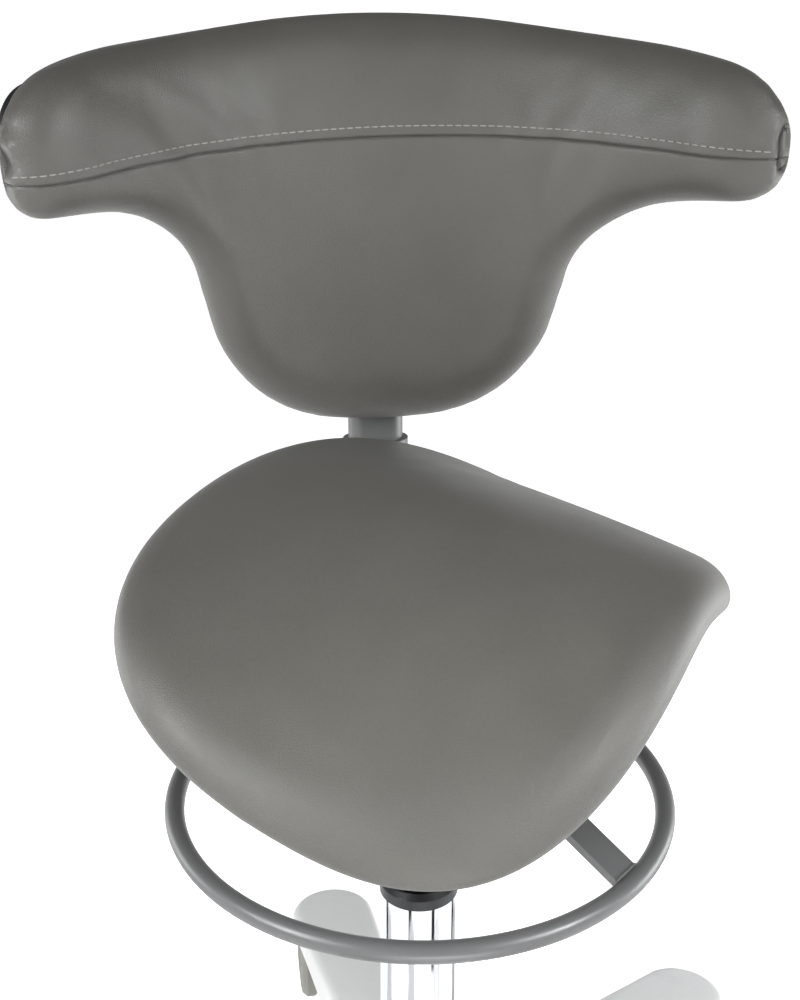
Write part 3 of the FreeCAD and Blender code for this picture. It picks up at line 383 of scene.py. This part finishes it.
def stuff(piece, held, pressure, limit):
    """Fill a closed cover like a pillow: cloth pushed out from inside, held where it is glued down, no
    point moving further than limit."""
    scene = bpy.context.scene
    frames = 20
    rest = coordinates(piece.data)
    group = piece.vertex_groups.new(name="glued")
    group.add([int(i) for i in np.flatnonzero(held)], 1.0, "REPLACE")
    cloth = piece.modifiers.new("Stuffing", "CLOTH")
    cloth.settings.quality = 4
    cloth.settings.vertex_group_mass = "glued"
    cloth.settings.use_pressure = True
    cloth.settings.uniform_pressure_force = pressure
    cloth.settings.effector_weights.gravity = 0
    cloth.settings.tension_stiffness = 18
    cloth.settings.bending_stiffness = 2
    cloth.collision_settings.use_collision = False
    cloth.point_cache.frame_end = frames
    for step in range(1, frames + 1):
        scene.frame_set(step)
    graph = bpy.context.evaluated_depsgraph_get()
    swollen = piece.evaluated_get(graph).to_mesh()
    moved = coordinates(swollen) - rest
    piece.evaluated_get(graph).to_mesh_clear()
    piece.modifiers.remove(cloth)
    piece.vertex_groups.clear()
    far = np.linalg.norm(moved, axis=1, keepdims=True)
    move_points(piece.data, rest + moved * np.minimum(1, limit / np.maximum(far, 1e-9)))
    scene.frame_set(1)


def relax(mesh, rounds):
    """Even out a mesh by pulling every point towards its neighbours, then back so that it doesn't shrink."""
    share = 0.5
    edges = np.empty(len(mesh.edges) * 2, dtype=int)
    mesh.edges.foreach_get("vertices", edges)
    edges = edges.reshape(-1, 2)
    points = coordinates(mesh)
    count = np.bincount(edges.ravel(), minlength=len(points))[:, None]
    for _ in range(rounds):
        for weight in (share, -share * 1.02):
            total = np.zeros_like(points)
            np.add.at(total, edges[:, 0], points[edges[:, 1]])
            np.add.at(total, edges[:, 1], points[edges[:, 0]])
            points = points + weight * (total / np.maximum(count, 1) - points)
    move_points(mesh, points)


def along_path():
    """Node tree that sets a small piece at even steps along a path, lined up with it."""
    name = "Along path"
    if name in bpy.data.node_groups:
        return bpy.data.node_groups[name]
    tree = bpy.data.node_groups.new(name, "GeometryNodeTree")
    tree.is_modifier = True
    ports = tree.interface
    ports.new_socket("Path", in_out="INPUT", socket_type="NodeSocketGeometry")
    for title, kind in (("Piece", "NodeSocketObject"), ("Pitch", "NodeSocketFloat"),
                        ("Unevenness", "NodeSocketFloat"), ("Finish", "NodeSocketMaterial")):
        ports.new_socket(title, in_out="INPUT", socket_type=kind)
    ports.new_socket("Row", in_out="OUTPUT", socket_type="NodeSocketGeometry")
    entry = add(tree, "NodeGroupInput")
    curve = add(tree, "GeometryNodeMeshToCurve", i0=entry.outputs["Path"])
    spots = add(tree, "GeometryNodeCurveToPoints", {"mode": "LENGTH"}, Curve=curve.outputs[0],
                Length=entry.outputs["Pitch"])
    lined = add(tree, "FunctionNodeAlignRotationToVector", {"axis": "X"}, Vector=spots.outputs["Tangent"])
    chance = add(tree, "FunctionNodeRandomValue", {"data_type": "FLOAT"}, i2=-1.0, i3=1.0, Seed=7)
    skew = add(tree, "ShaderNodeMath", {"operation": "MULTIPLY"}, i0=chance.outputs[1],
               i1=entry.outputs["Unevenness"])
    angle = add(tree, "ShaderNodeCombineXYZ", Z=skew.outputs[0])
    spin = add(tree, "FunctionNodeRotateRotation", {"rotation_space": "LOCAL"}, i0=lined.outputs[0],
               i1=angle.outputs[0])
    shape = add(tree, "GeometryNodeObjectInfo", i0=entry.outputs["Piece"])
    row = add(tree, "GeometryNodeInstanceOnPoints", Points=spots.outputs["Points"],
              Instance=shape.outputs["Geometry"], Rotation=spin.outputs[0])
    real = add(tree, "GeometryNodeRealizeInstances", i0=row.outputs[0])
    painted = add(tree, "GeometryNodeSetMaterial", i0=real.outputs[0], Material=entry.outputs["Finish"])
    add(tree, "NodeGroupOutput", i0=painted.outputs[0])
    return tree


def row_of(name, path, piece, pitch, unevenness, material, body, closed=False):
    """A row of small pieces along a path of points, as one plain mesh on a body."""
    count = len(path)
    edges = [(i, i + 1) for i in range(count - 1)] + ([(count - 1, 0)] if closed else [])
    line = bpy.data.objects.new(name + "_path", mesh_of(name + "_path", path, [], edges))
    bpy.context.scene.collection.objects.link(line)
    tree = along_path()
    modifier = line.modifiers.new("Row", "NODES")
    modifier.node_group = tree
    wanted = {"Piece": piece, "Pitch": pitch, "Unevenness": unevenness, "Finish": material}
    for item in tree.interface.items_tree:
        if item.item_type == "SOCKET" and item.in_out == "INPUT" and item.name in wanted:
            modifier[item.identifier] = wanted[item.name]
    graph = bpy.context.evaluated_depsgraph_get()
    mesh = bpy.data.meshes.new_from_object(line.evaluated_get(graph), depsgraph=graph)
    bpy.data.objects.remove(line)
    bpy.data.objects.remove(piece)
    made = new_object(name, mesh, material)
    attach(made, body)


def spindle(name, half, radius, sides=6):
    """Small closed spindle along X: one stitch, staple or weld ripple."""
    tip, shoulder, shoulder_place = 0.35, 0.85, 0.72
    rings = [(-half, tip), (-half * shoulder_place, shoulder), (0.0, 1.0), (half * shoulder_place, shoulder),
             (half, tip)]
    points = []
    for x, share in rings:
        for i in range(sides):
            angle = 2 * math.pi * i / sides
            points.append((x, radius * share * math.cos(angle), radius * share * math.sin(angle)))
    faces = band_faces(len(rings), sides)
    faces.append(tuple(reversed(range(sides))))
    faces.append(tuple(range((len(rings) - 1) * sides, len(rings) * sides)))
    mesh = mesh_of(name, points, faces)
    tidy(mesh)
    piece = bpy.data.objects.new(name, mesh)
    bpy.context.scene.collection.objects.link(piece)
    return piece


def tidy(mesh, merge=1e-6):
    """Merge doubles and turn all faces outwards."""
    work = bmesh.new()
    work.from_mesh(mesh)
    bmesh.ops.remove_doubles(work, verts=work.verts, dist=merge)
    bmesh.ops.recalc_face_normals(work, faces=work.faces)
    work.to_mesh(mesh)
    work.free()
    mesh.update()


def saddle_height(x, y):
    """Top of the saddle: a ridge along the seat with flaps falling off at both sides, in metres."""
    z = sizes()
    front_fall, rear_fall = 0.014, 0.004
    ridge, power = 0.030, 0.8
    pitch, front_flap = 0.04, 0.53
    ahead = -y / (z.seat_front if y < 0 else z.seat_rear)
    fall = (front_fall if y < 0 else rear_fall) * ahead * ahead
    soft = ridge ** 2
    arch = ((x * x + soft) ** power - soft ** power) / ((z.seat_half ** 2 + soft) ** power - soft ** power)
    return z.seat_top + pitch * y - fall - z.flap_drop * arch * (1 + front_flap * ahead)


def saddle_edge(angle, grow, share=1.0):
    """Point of the seat's plan outline, grown by a distance and then scaled."""
    z = sizes()
    power, front_spread = 2.64, 0.05
    ahead, aside = math.cos(angle), math.sin(angle)
    long = (z.seat_front if ahead > 0 else z.seat_rear) + grow
    wide = z.seat_half * (1 + front_spread * ahead) + grow
    reach = share * (abs(ahead / long) ** power + abs(aside / wide) ** power) ** (-1 / power)
    return aside * reach, -ahead * reach


def disc_grid(count):
    """Even square grid squeezed into a disc: (angle, radius) of each point, and the quads."""
    spots, faces = [], []
    for i in range(count + 1):
        for j in range(count + 1):
            u, v = 2 * i / count - 1, 2 * j / count - 1
            a, b = u * math.sqrt(1 - v * v / 2), v * math.sqrt(1 - u * u / 2)
            spots.append((math.atan2(a, b), math.hypot(a, b)))
    for i in range(count):
        for j in range(count):
            k = i * (count + 1) + j
            faces.append((k, k + count + 1, k + count + 2, k + 1))
    return spots, faces


SEAT_INSET = 0.009    # the cover's flat underside keeps this far in from the seat's outline
SEAT_CLEAR = 0.0002   # and this far above the pan


def seat_cover():
    """Closed cover of the seat cushion: crowned top, padded rim and a flat underside for the pan."""
    z = sizes()
    count = 60
    spots, faces = disc_grid(count)
    points = []
    for angle, share in spots:
        x, y = saddle_edge(angle, 0.0, share)
        points.append((x, y, saddle_height(x, y)))
    side = count + 1
    border = [i * side for i in range(side)] + [count * side + j for j in range(1, side)]
    border += [i * side + count for i in range(count - 1, -1, -1)] + list(range(count - 1, 0, -1))
    last = border
    roll = z.seat_roll
    profile = [(roll * math.cos(math.radians(a)), roll * (1 - math.sin(math.radians(a))))
               for a in (72, 54, 36, 18, 0, -18, -36, -54)]
    profile += [(roll * 0.25, z.seat_thick * 0.89), (roll * -0.2, z.seat_thick * 0.98),
                (-SEAT_INSET, z.seat_thick - SEAT_CLEAR)]
    for grow, depth in profile:
        start = len(points)
        for index in border:
            x, y = saddle_edge(spots[index][0], grow)
            points.append((x, y, saddle_height(x, y) - depth))
        ring = list(range(start, len(points)))
        for i in range(len(ring)):
            j = (i + 1) % len(ring)
            faces.append((last[i], ring[i], ring[j], last[j]))
        last = ring
    start = len(points)
    for angle, share in spots:
        x, y = saddle_edge(angle, -SEAT_INSET, share)
        points.append((x, y, saddle_height(x, y) - z.seat_thick + SEAT_CLEAR))
    for i in range(count):
        for j in range(count):
            k = start + i * side + j
            faces.append((k, k + 1, k + side + 1, k + side))
    mesh = mesh_of("saddle_seat", points, faces)
    tidy(mesh, 2e-5)
    return mesh


class STOOL_OT_seat(bpy.types.Operator):
    """Upholster the saddle seat: stuffed cover, turned-under hem and staples"""
    bl_idname = "stool.seat"
    bl_label = "Saddle seat"

    def execute(self, context):
        z = sizes()
        pressure, puff = 2.0, z.puff_limit * 0.3
        seat = new_object("saddle_seat", seat_cover(), leatherette())
        points = coordinates(seat.data)
        depth = np.array([saddle_height(x, y) for x, y, h in points]) - points[:, 2]
        held = depth > z.seat_thick * 0.9
        stuff(seat, held, pressure, puff)
        relax(seat.data, 3)
        smooth = seat.modifiers.new("Smooth", "SUBSURF")
        smooth.levels = smooth.render_levels = 1
        applied(seat)
        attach(seat, "seat")
        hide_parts("seat_cushion")
        finish(plywood(), "seat_pan", "mounting_blocks")
        self.hem()
        return {"FINISHED"}

    def hem(self):
        """Edge of the cover, pulled over the pan and stapled to its underside."""
        z = sizes()
        pan_thick, staple_inset, staple_drop = 0.010, 0.036, 0.0024
        ragged, ragged_inset, waves = 0.0012, 0.034, 14
        under = z.seat_thick + pan_thick
        # Each row of the profile is the way out from the seat's outline and the depth below its top.
        profile = [(-SEAT_INSET, z.seat_thick - 0.0004), (-0.016, z.seat_thick + 0.0006),
                   (-0.0205, z.seat_thick + 0.0025), (-0.0210, under - 0.001), (-0.023, under + 0.0014),
                   (-0.030, under + 0.0018), (-0.038, under + 0.0016), (-0.046, under + 0.0012),
                   (-0.0465, under + 0.0002)]
        steps = 180
        points = []
        for grow, depth in profile:
            for step in range(steps):
                angle = 2 * math.pi * step / steps
                way = Vector((math.cos(angle), math.sin(angle), 0))
                wave = ragged * noise(way * waves) if grow < -ragged_inset else 0
                x, y = saddle_edge(angle, grow + wave)
                points.append((x, y, saddle_height(x, y) - depth))
        mesh = mesh_of("seat_hem", points, band_faces(len(profile), steps))
        hem = new_object("seat_hem", mesh, leatherette())
        wall = hem.modifiers.new("Cloth thickness", "SOLIDIFY")
        wall.thickness = 0.0010
        wall.offset = 0
        applied(hem)
        tidy(hem.data)
        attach(hem, "seat")
        path = []
        steps = 240
        for step in range(steps):
            x, y = saddle_edge(2 * math.pi * step / steps, -staple_inset)
            path.append((x, y, saddle_height(x, y) - under - staple_drop))
        row_of("seat_staples", path, spindle("staple", 0.0050, 0.0005), z.staple_pitch, 0.25, steel(),
               "seat", closed=True)


def seam_plane(rise):
    """Point and upright normal of the plane that the backrest's seam lies in, in the backrest's frame."""
    z = sizes()
    lean, cant = -0.112, 0.023
    normal = Vector((lean, cant, 1.0)).normalized()
    return Vector((z.pad_front - z.bend_axis, 0.0, z.seam_height + rise)), normal


def end_plane(sign):
    """Upright plane of the seam that closes one wing end: a point and the way out."""
    z = sizes()
    front_place = 0.243, math.radians(58.7)
    rear_place = 0.279, math.radians(55.9 if sign > 0 else 58.3)
    front, rear = (Vector((reach * math.cos(turn) - z.bend_axis, sign * reach * math.sin(turn), 0.0))
                   for reach, turn in (front_place, rear_place))
    along = (rear - front).normalized()
    return front, Vector((-along.y, along.x, 0.0)) * sign


class STOOL_OT_backrest(bpy.types.Operator):
    """Upholster the backrest: stuffed pad, folded seam, topstitching and closed wing ends"""
    bl_idname = "stool.backrest"
    bl_label = "Backrest pad"

    heading = math.radians(33)   # of the backrest round the column
    depth = 0.040                # of the pad, from its front
    glued_depth = 0.034          # behind it the cover is glued to the shell
    seam_depth = 0.036           # as far back as the seams go round the wings' ends

    def execute(self, context):
        z = sizes()
        pressure, puff = 1.2, z.puff_limit * 0.35
        work = bmesh.new()
        work.from_mesh(NODES["backrest_cushion"].data)
        bmesh.ops.remove_doubles(work, verts=work.verts, dist=1e-5)
        bmesh.ops.rotate(work, verts=work.verts, matrix=Matrix.Rotation(-self.heading, 3, "Z"))
        mesh = bpy.data.meshes.new("backrest_pad")
        work.to_mesh(mesh)
        work.free()
        pad = new_object("backrest_pad", mesh, leatherette())
        remesh = pad.modifiers.new("Even mesh", "REMESH")
        remesh.mode = "VOXEL"
        remesh.voxel_size = 0.0045
        applied(pad)
        relax(pad.data, 6)
        points = coordinates(pad.data)
        out = np.hypot(points[:, 0] + z.bend_axis, points[:, 1])
        self.roll_top(pad.data, out)
        stuff(pad, out > z.pad_front + self.glued_depth, pressure, puff)
        relax(pad.data, 10)
        smooth = pad.modifiers.new("Smooth", "SUBSURF")
        smooth.levels = smooth.render_levels = 1
        applied(pad)
        self.seams(pad.data)
        path, holes = self.stitch_path(pad.data)
        turn = Matrix.Rotation(self.heading, 4, "Z")
        pad.data.transform(turn)
        pad.data.update()
        dress(pad.data, leatherette())
        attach(pad, "backrest")
        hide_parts("backrest_cushion")
        pitch = z.stitch_pitch
        row_of("backrest_stitches", [turn @ p for p in path], spindle("stitch", pitch * 0.40, 0.00050), pitch,
               0.10, thread(), "backrest")
        row_of("needle_holes", [turn @ p for p in holes], spindle("hole", 0.00055, 0.00045, 5), pitch, 0.0,
               black_plastic(), "backrest")
        finish(black_plastic(), "backrest_shell")
        return {"FINISHED"}

    def roll_top(self, mesh, out):
        """Lean the front of the pad back above the seam, so that the top becomes a padded roll, round the
        foot, and draw the wings' ends in to a closed edge."""
        z = sizes()
        points = coordinates(mesh)
        height = points[:, 2]
        angle = np.arctan2(points[:, 1], points[:, 0] + z.bend_axis)
        rear = z.pad_front + self.depth
        share = np.clip((rear - out) / self.depth, 0, 1)
        # The top leans back from the seam up, the foot from its last 50 mm down.
        top_start, top_span, top_lean = 0.750, 0.083, 0.021
        foot_start, foot_span, foot_lean = 0.612, 0.052, 0.008
        rise = np.clip((height - top_start) / top_span, 0, 1)
        back = top_lean * rise ** 2.0 * share
        foot = np.clip((foot_start - height) / foot_span, 0, 1)
        back = back + foot_lean * foot ** 2.2 * share
        # The front is drawn back to the closed edge over the wings' last 50 mm.
        end_angle, tuck_span, tuck_depth = math.radians(59), 0.050, 0.024
        tuck = np.clip(1 - (end_angle - np.abs(angle)) * out / tuck_span, 0, 1)
        back = back + tuck_depth * tuck ** 2 * share
        # The cover was pulled a little unevenly, so the two wings differ by a few millimetres.
        left = angle > 0
        slant = np.radians(np.where(left, 3.0, 0.4))
        wing_fall = np.where(left, 0.017, 0.013)
        armpit_fall = np.where(left, 0.005, 0.011)
        lower_fall = np.where(left, 0.004, 0.0)
        top_swell = 0.0045
        degrees = np.degrees(np.abs(angle))
        wing_start, wing_span = 36, 23
        late = np.clip((degrees - wing_start) / wing_span, 0, 1)
        deep = np.clip((out + back - z.pad_front) / self.glued_depth, 0, 1)
        angle = angle - np.sign(angle) * slant * deep * late ** 2
        upper_start, upper_span = 0.757, 0.046
        lower_start, lower_span = 0.768, 0.030
        high = np.clip((height - upper_start) / upper_span, 0, 1)
        low = np.clip((lower_start - height) / lower_span, 0, 1)
        armpit_angle, armpit_width = 31, 11
        armpit_start, armpit_span = 0.600, 0.070
        above = np.clip((height - armpit_start) / armpit_span, 0, 1)
        armpit = np.exp(-((degrees - armpit_angle) / armpit_width) ** 2) * above
        fall = wing_fall * late ** 2.2 * high - top_swell * rise
        fall = fall + armpit_fall * armpit * low + lower_fall * late * low
        reach = out + back
        move_points(mesh, np.stack([reach * np.cos(angle) - z.bend_axis, reach * np.sin(angle),
                                    height - fall], axis=1))

    def seams(self, mesh):
        """Press the folded seam and the two end seams into the pad, with puckers at the wing ends, and store
        painted shade along their grooves.
        """
        z = sizes()
        fold_cuts = (-0.0022, -0.0011, -0.0005, 0.0, 0.0005, 0.0011, 0.0022)
        end_cuts = (-0.0016, -0.0007, 0.0, 0.0007, 0.0016)
        cut_reach = 0.006
        fold_depth, fold_width, fold_reach, fold_shade = 0.0016, 0.0007, 0.004, 0.75
        lip_height, lip_width = 0.0007, 0.004
        end_depth, end_width, end_shade_width, end_reach = 0.0030, 0.0010, 0.0009, 0.03
        end_low, end_high = 0.728, 0.792
        pucker_depth, pucker_width, puckers = 0.0022, 0.007, 95.0
        work = bmesh.new()
        work.from_mesh(mesh)
        spot, up = seam_plane(0.0)
        cuts = [(spot + up * gap, up) for gap in fold_cuts]
        for sign in (-1, 1):
            end, across = end_plane(sign)
            cuts += [(end + across * gap, across) for gap in end_cuts]
        for point, normal in cuts:
            parts = set()
            for face in work.faces:
                middle = face.calc_center_median()
                if (math.hypot(middle.x + z.bend_axis, middle.y) < z.pad_front + self.seam_depth
                        and abs((middle - point).dot(normal)) < cut_reach and middle.x > -z.bend_axis):
                    parts.update((face, *face.edges, *face.verts))
            bmesh.ops.bisect_plane(work, geom=list(parts), dist=1e-6, plane_co=point, plane_no=normal)
        bmesh.ops.remove_doubles(work, verts=work.verts, dist=0.00012)
        work.normal_update()
        # Painted shade: each point near a seam gets how far its colour is darkened, for the shade in the
        # fold's groove and in the end seams' slits.
        layer = work.verts.layers.float.new("seam_shade")
        moves = []
        for vert in work.verts:
            co = vert.co
            if math.hypot(co.x + z.bend_axis, co.y) > z.pad_front + self.seam_depth:
                continue
            gap = (co - spot).dot(up)
            deep = fold_depth * math.exp(-abs(gap) / fold_width) if abs(gap) < fold_reach else 0.0
            dark = max(0.0, 1 - abs(gap) / fold_width) * fold_shade
            if gap > 0:
                deep -= lip_height * math.exp(-gap / lip_width)
            sign = math.copysign(1, co.y)
            end, across = end_plane(sign)
            side = abs((co - end).dot(across))
            if side < end_reach and end_low < co.z < end_high:
                ruffle = noise(Vector((0.0, sign * 3.0, co.z * puckers)))
                deep += end_depth * math.exp(-side / end_width)
                # Painted shade in the end seam's slit.
                dark = max(dark, 1 - side / end_shade_width)
                deep += pucker_depth * ruffle * math.exp(-side / pucker_width)
            vert[layer] = dark
            moves.append((vert, -vert.normal * deep))
        for vert, move in moves:
            vert.co += move
        work.to_mesh(mesh)
        work.free()
        mesh.update()

    def stitch_path(self, mesh):
        """Points of the stitch line and of the needle holes, on the pad's front."""
        z = sizes()
        tree = BVHTree.FromPolygons([v.co for v in mesh.vertices], [p.vertices[:] for p in mesh.polygons])
        spot, up = seam_plane(z.stitch_rise)
        centre = Vector((-z.bend_axis, 0.0, 0.0))
        path, holes = [], []
        steps, step_turn, ray_start = 230, 0.25, 0.15
        thread_rise, hole_sink = 0.00005, 0.00010
        for step in range(-steps, steps + 1):
            angle = math.radians(step * step_turn)
            way = Vector((math.cos(angle), math.sin(angle), 0.0))
            level = spot.z - ((centre + way * z.pad_front - spot).dot(Vector((up.x, up.y, 0)))) / up.z
            hit = tree.ray_cast(centre + way * ray_start + Vector((0, 0, level)), way)[0]
            if hit:
                path.append(hit - way * thread_rise)
                holes.append(hit + way * hole_sink)
        # The holes start half a stitch later, so that they lie between the stitches.
        half = z.stitch_pitch / 2
        start = 0.0
        while holes and start < half:
            start += (holes[1] - holes[0]).length
            holes.pop(0)
        return path, holes


class STOOL_OT_base(bpy.types.Operator):
    """Finish the five-arm base and its castors"""
    bl_idname = "stool.base"
    bl_label = "Base and castors"

    def execute(self, context):
        finish(base_paint(), "star_base")
        for number in range(1, 6):
            finish(castor_plastic(), "castor_body_%d" % number)
            finish(steel(), "castor_stem_%d" % number, "castor_axle_%d" % number)
            finish(wheel_plastic(), "castor_wheel_left_%d" % number,
                   "castor_wheel_right_%d" % number)
        return {"FINISHED"}


class STOOL_OT_column(bpy.types.Operator):
    """Finish the gas column"""
    bl_idname = "stool.column"
    bl_label = "Gas column"

    def execute(self, context):
        finish(chrome(), "column_tube")
        finish(black_plastic(), "column_collar", "guide_bush")
        finish(steel(), "thrust_bearing", "piston_rod", "piston", "rod_clip", "pressure_cylinder",
               "release_pin")
        return {"FINISHED"}


class STOOL_OT_mechanism(bpy.types.Operator):
    """Finish the mechanism under the seat"""
    bl_idname = "stool.mechanism"
    bl_label = "Seat mechanism"

    def execute(self, context):
        finish(cast_metal(), "seat_mechanism", "swing_retainer")
        finish(steel(), "push_rod", "release_rocker", "rocker_pin", "seat_screws")
        return {"FINISHED"}


class STOOL_OT_foot_control(bpy.types.Operator):
    """Finish the foot ring, its spokes and their welds"""
    bl_idname = "stool.foot_control"
    bl_label = "Foot control"

    def execute(self, context):
        finish(silver_paint(), "foot_ring", "yoke", "front_spoke", "rear_spoke")
        finish(steel(), "trunnion_pins")
        # A weld runs round each spoke's flat bar where it meets the ring.
        turn = Matrix.Rotation(math.radians(-12.5), 4, "Z")
        bar_half, bar_rise, squareness = 0.0104, 0.0031, 1.25
        weld_reach, weld_height, steps = 0.1452, 0.3854, 48
        for name, sign in (("front", -1), ("rear", 1)):
            path = []
            for step in range(steps):
                angle = 2 * math.pi * step / steps
                x = bar_half * max(-1, min(1, squareness * math.cos(angle)))
                lift = bar_rise * max(-1, min(1, squareness * math.sin(angle)))
                path.append(turn @ Vector((x, sign * weld_reach, weld_height + lift)))
            row_of(name + "_spoke_weld", path, spindle("ripple", 0.0011, 0.0011), 0.0013, 0.4, silver_paint(),
                   "foot_control", closed=True)
        return {"FINISHED"}


class STOOL_OT_support(bpy.types.Operator):
    """Finish the swing arm, post and knob that carry the backrest"""
    bl_idname = "stool.support"
    bl_label = "Backrest support"

    def execute(self, context):
        finish(silver_paint(), "swing_collar", "swing_arm", "post_sleeve", "post",
               "backrest_bracket")
        finish(black_plastic(), "clamp_knob", "post_plugs")
        finish(steel(), "backrest_screws")
        return {"FINISHED"}


class STOOL_OT_stage(bpy.types.Operator):
    """Set the pale floor, the studio lights and the camera"""
    bl_idname = "stool.stage"
    bl_label = "Stage"

    def execute(self, context):
        scene = context.scene
        radius, wall_height, floor_level = 25, 40.0, -0.0005
        paint = self.floor_paint()
        turns = [math.radians(turn) for turn in range(0, 360, 5)]
        circle = [(radius * math.cos(turn), radius * math.sin(turn)) for turn in turns]
        count = len(circle)
        foot = [(x, y, floor_level) for x, y in circle]
        floor = new_object("studio_floor", mesh_of("studio_floor", foot, [tuple(range(count))]), paint)
        wall = new_object("studio_wall", mesh_of(
            "studio_wall", foot + [(x, y, wall_height) for x, y in circle],
            [((k + 1) % count, k, k + count, (k + 1) % count + count) for k in range(count)]), paint)
        wall.visible_glossy = wall.visible_shadow = False
        for backdrop in (floor, wall):
            backdrop.visible_diffuse = False
        scene.world = self.studio_air()
        self.floor_strips()
        middle = (0.05, 0.03, 0.62)
        # Place, aim, width and height in metres, spread in degrees, power in watts.
        for name, spot, aim, wide, tall, spread, power in (
                ("left softbox", (-1.10, 0.58, 1.06), middle, 0.40, 0.40, 180, 12.5),
                ("right softbox", (-0.16, -1.30, 1.20), middle, 0.40, 0.40, 180, 12.5),
                ("left fill", (-0.25, 1.40, 0.40), middle, 0.9, 0.5, 180, 5),
                ("right fill", (0.90, -1.05, 0.32), middle, 0.9, 0.5, 180, 8),
                ("front fill", (-0.80, -0.38, 0.88), middle, 0.5, 0.4, 180, 3.8),
                ("seat fill", (-0.66, -0.34, 1.20), (-0.19, -0.08, 0.49), 0.3, 0.3, 38, 0.42),
                ("low fill", (-0.75, -0.50, 0.18), (0.0, 0.0, 0.1), 0.5, 0.2, 180, 1.6)):
            lamp = bpy.data.lights.new(name, "AREA")
            lamp.shape = "RECTANGLE"
            lamp.size, lamp.size_y = wide, tall
            lamp.spread = math.radians(spread)
            lamp.energy = power
            lamp.color = (0.965, 0.985, 1.0)
            light = bpy.data.objects.new(name, lamp)
            light.location = spot
            light.rotation_euler = (Vector(aim) - Vector(spot)).to_track_quat("-Z", "Y").to_euler()
            light.visible_camera = False
            light.visible_glossy = name not in ("front fill", "seat fill")
            scene.collection.objects.link(light)
        # Solved so that the column stands upright, the foot ring is round and the cushions' outlines fit.
        lens = bpy.data.cameras.new("photo_camera")
        lens.lens = 48.3
        lens.sensor_width = 36
        camera = bpy.data.objects.new("photo_camera", lens)
        camera.location = (-0.6443, -0.3009, 0.851)
        camera.rotation_euler = (math.radians(68.8), 0, math.radians(-64))
        scene.collection.objects.link(camera)
        scene.camera = camera
        scene.view_settings.view_transform = "Standard"
        return {"FINISHED"}

    def studio_air(self):
        """White screens all round, fading to a dark ceiling and a dimmer floor."""
        world = bpy.data.worlds.new("studio")
        world.use_nodes = True
        tree = world.node_tree
        way = add(tree, "ShaderNodeTexCoord").outputs["Generated"]
        height = add(tree, "ShaderNodeSeparateXYZ", Vector=way).outputs["Z"]
        glow = add(tree, "ShaderNodeMapRange", {"interpolation_type": "SMOOTHSTEP"}, Value=height,
                   From_Min=0.12, From_Max=0.62, To_Min=0.50, To_Max=0.05)
        below = add(tree, "ShaderNodeMapRange", Value=height, From_Min=-0.25, From_Max=0.0, To_Min=0.4,
                    To_Max=1.0)
        level = add(tree, "ShaderNodeMath", {"operation": "MULTIPLY"}, i0=glow.outputs[0],
                    i1=below.outputs[0])
        screen = tree.nodes["Background"]
        screen.inputs["Color"].default_value = (1, 1, 1, 1)
        tree.links.new(level.outputs[0], screen.inputs["Strength"])
        return world

    def floor_strips(self):
        """Dark strips on the floor, seen only as thin upright lines in the chromium."""
        material, tree, shader, place = blank("black_cloth_matt")
        weave = add(tree, "ShaderNodeTexNoise", Vector=place, Scale=200.0)
        bump = add(tree, "ShaderNodeBump", Strength=0.1, Height=weave.outputs["Fac"])
        tree.links.new(bump.outputs[0], shader.inputs["Normal"])
        shader.inputs["Base Color"].default_value = (0.006, 0.006, 0.006, 1)
        shader.inputs["Roughness"].default_value = 1.0
        near, far, half, rise = 0.33, 1.6, 0.08, 0.001
        for degrees in (102, 181, 247, 321):
            angle = math.radians(degrees)
            corners = [(reach * math.cos(angle + side), reach * math.sin(angle + side), rise)
                       for reach, side in ((near, -half), (far, -half), (far, half), (near, half))]
            name = "floor_strip_%d" % degrees
            strip = new_object(name, mesh_of(name, corners, [(0, 1, 2, 3)]), material)
            strip.visible_camera = False
            strip.visible_diffuse = False
            strip.visible_shadow = False

    def floor_paint(self):
        """White seamless paper, lit so that it stays nearly white."""
        material, tree, shader, place = blank("seamless_paper_white")
        fibre = add(tree, "ShaderNodeTexNoise", Vector=place, Scale=300.0, Detail=3.0)
        bump = add(tree, "ShaderNodeBump", Strength=0.03, Distance=0.0004, Height=fibre.outputs["Fac"])
        tree.links.new(bump.outputs[0], shader.inputs["Normal"])
        shader.inputs["Base Color"].default_value = (0.86, 0.86, 0.86, 1)
        shader.inputs["Roughness"].default_value = 0.9
        shader.inputs["Emission Color"].default_value = (1, 1, 1, 1)
        shader.inputs["Emission Strength"].default_value = 0.95
        return material


ORDER = (STOOL_OT_stage, STOOL_OT_base, STOOL_OT_column, STOOL_OT_mechanism, STOOL_OT_foot_control,
         STOOL_OT_support, STOOL_OT_seat, STOOL_OT_backrest)


class STOOL_PT_pieces(bpy.types.Panel):
    """Pieces of the stool, with their sizes and colours"""
    bl_idname = "STOOL_PT_pieces"
    bl_label = "Saddle stool"
    bl_space_type = "VIEW_3D"
    bl_region_type = "UI"
    bl_category = "Stool"

    def draw(self, context):
        for operator in ORDER:
            self.layout.operator(operator.bl_idname)
        for group in (context.scene.stool_sizes, context.scene.stool_colours):
            for name in group.__annotations__:
                self.layout.prop(group, name)


CLASSES = (StoolColours, StoolSizes, *ORDER, STOOL_PT_pieces)


def register():
    for kind in CLASSES:
        bpy.utils.register_class(kind)
    bpy.types.Scene.stool_colours = PointerProperty(type=StoolColours)
    bpy.types.Scene.stool_sizes = PointerProperty(type=StoolSizes)


def unregister():
    del bpy.types.Scene.stool_sizes
    del bpy.types.Scene.stool_colours
    for kind in reversed(CLASSES):
        bpy.utils.unregister_class(kind)


def main():
    register()
    for operator in ORDER:
        group, name = operator.bl_idname.split(".")
        getattr(getattr(bpy.ops, group), name)()


if __name__ == "__main__":
    main()
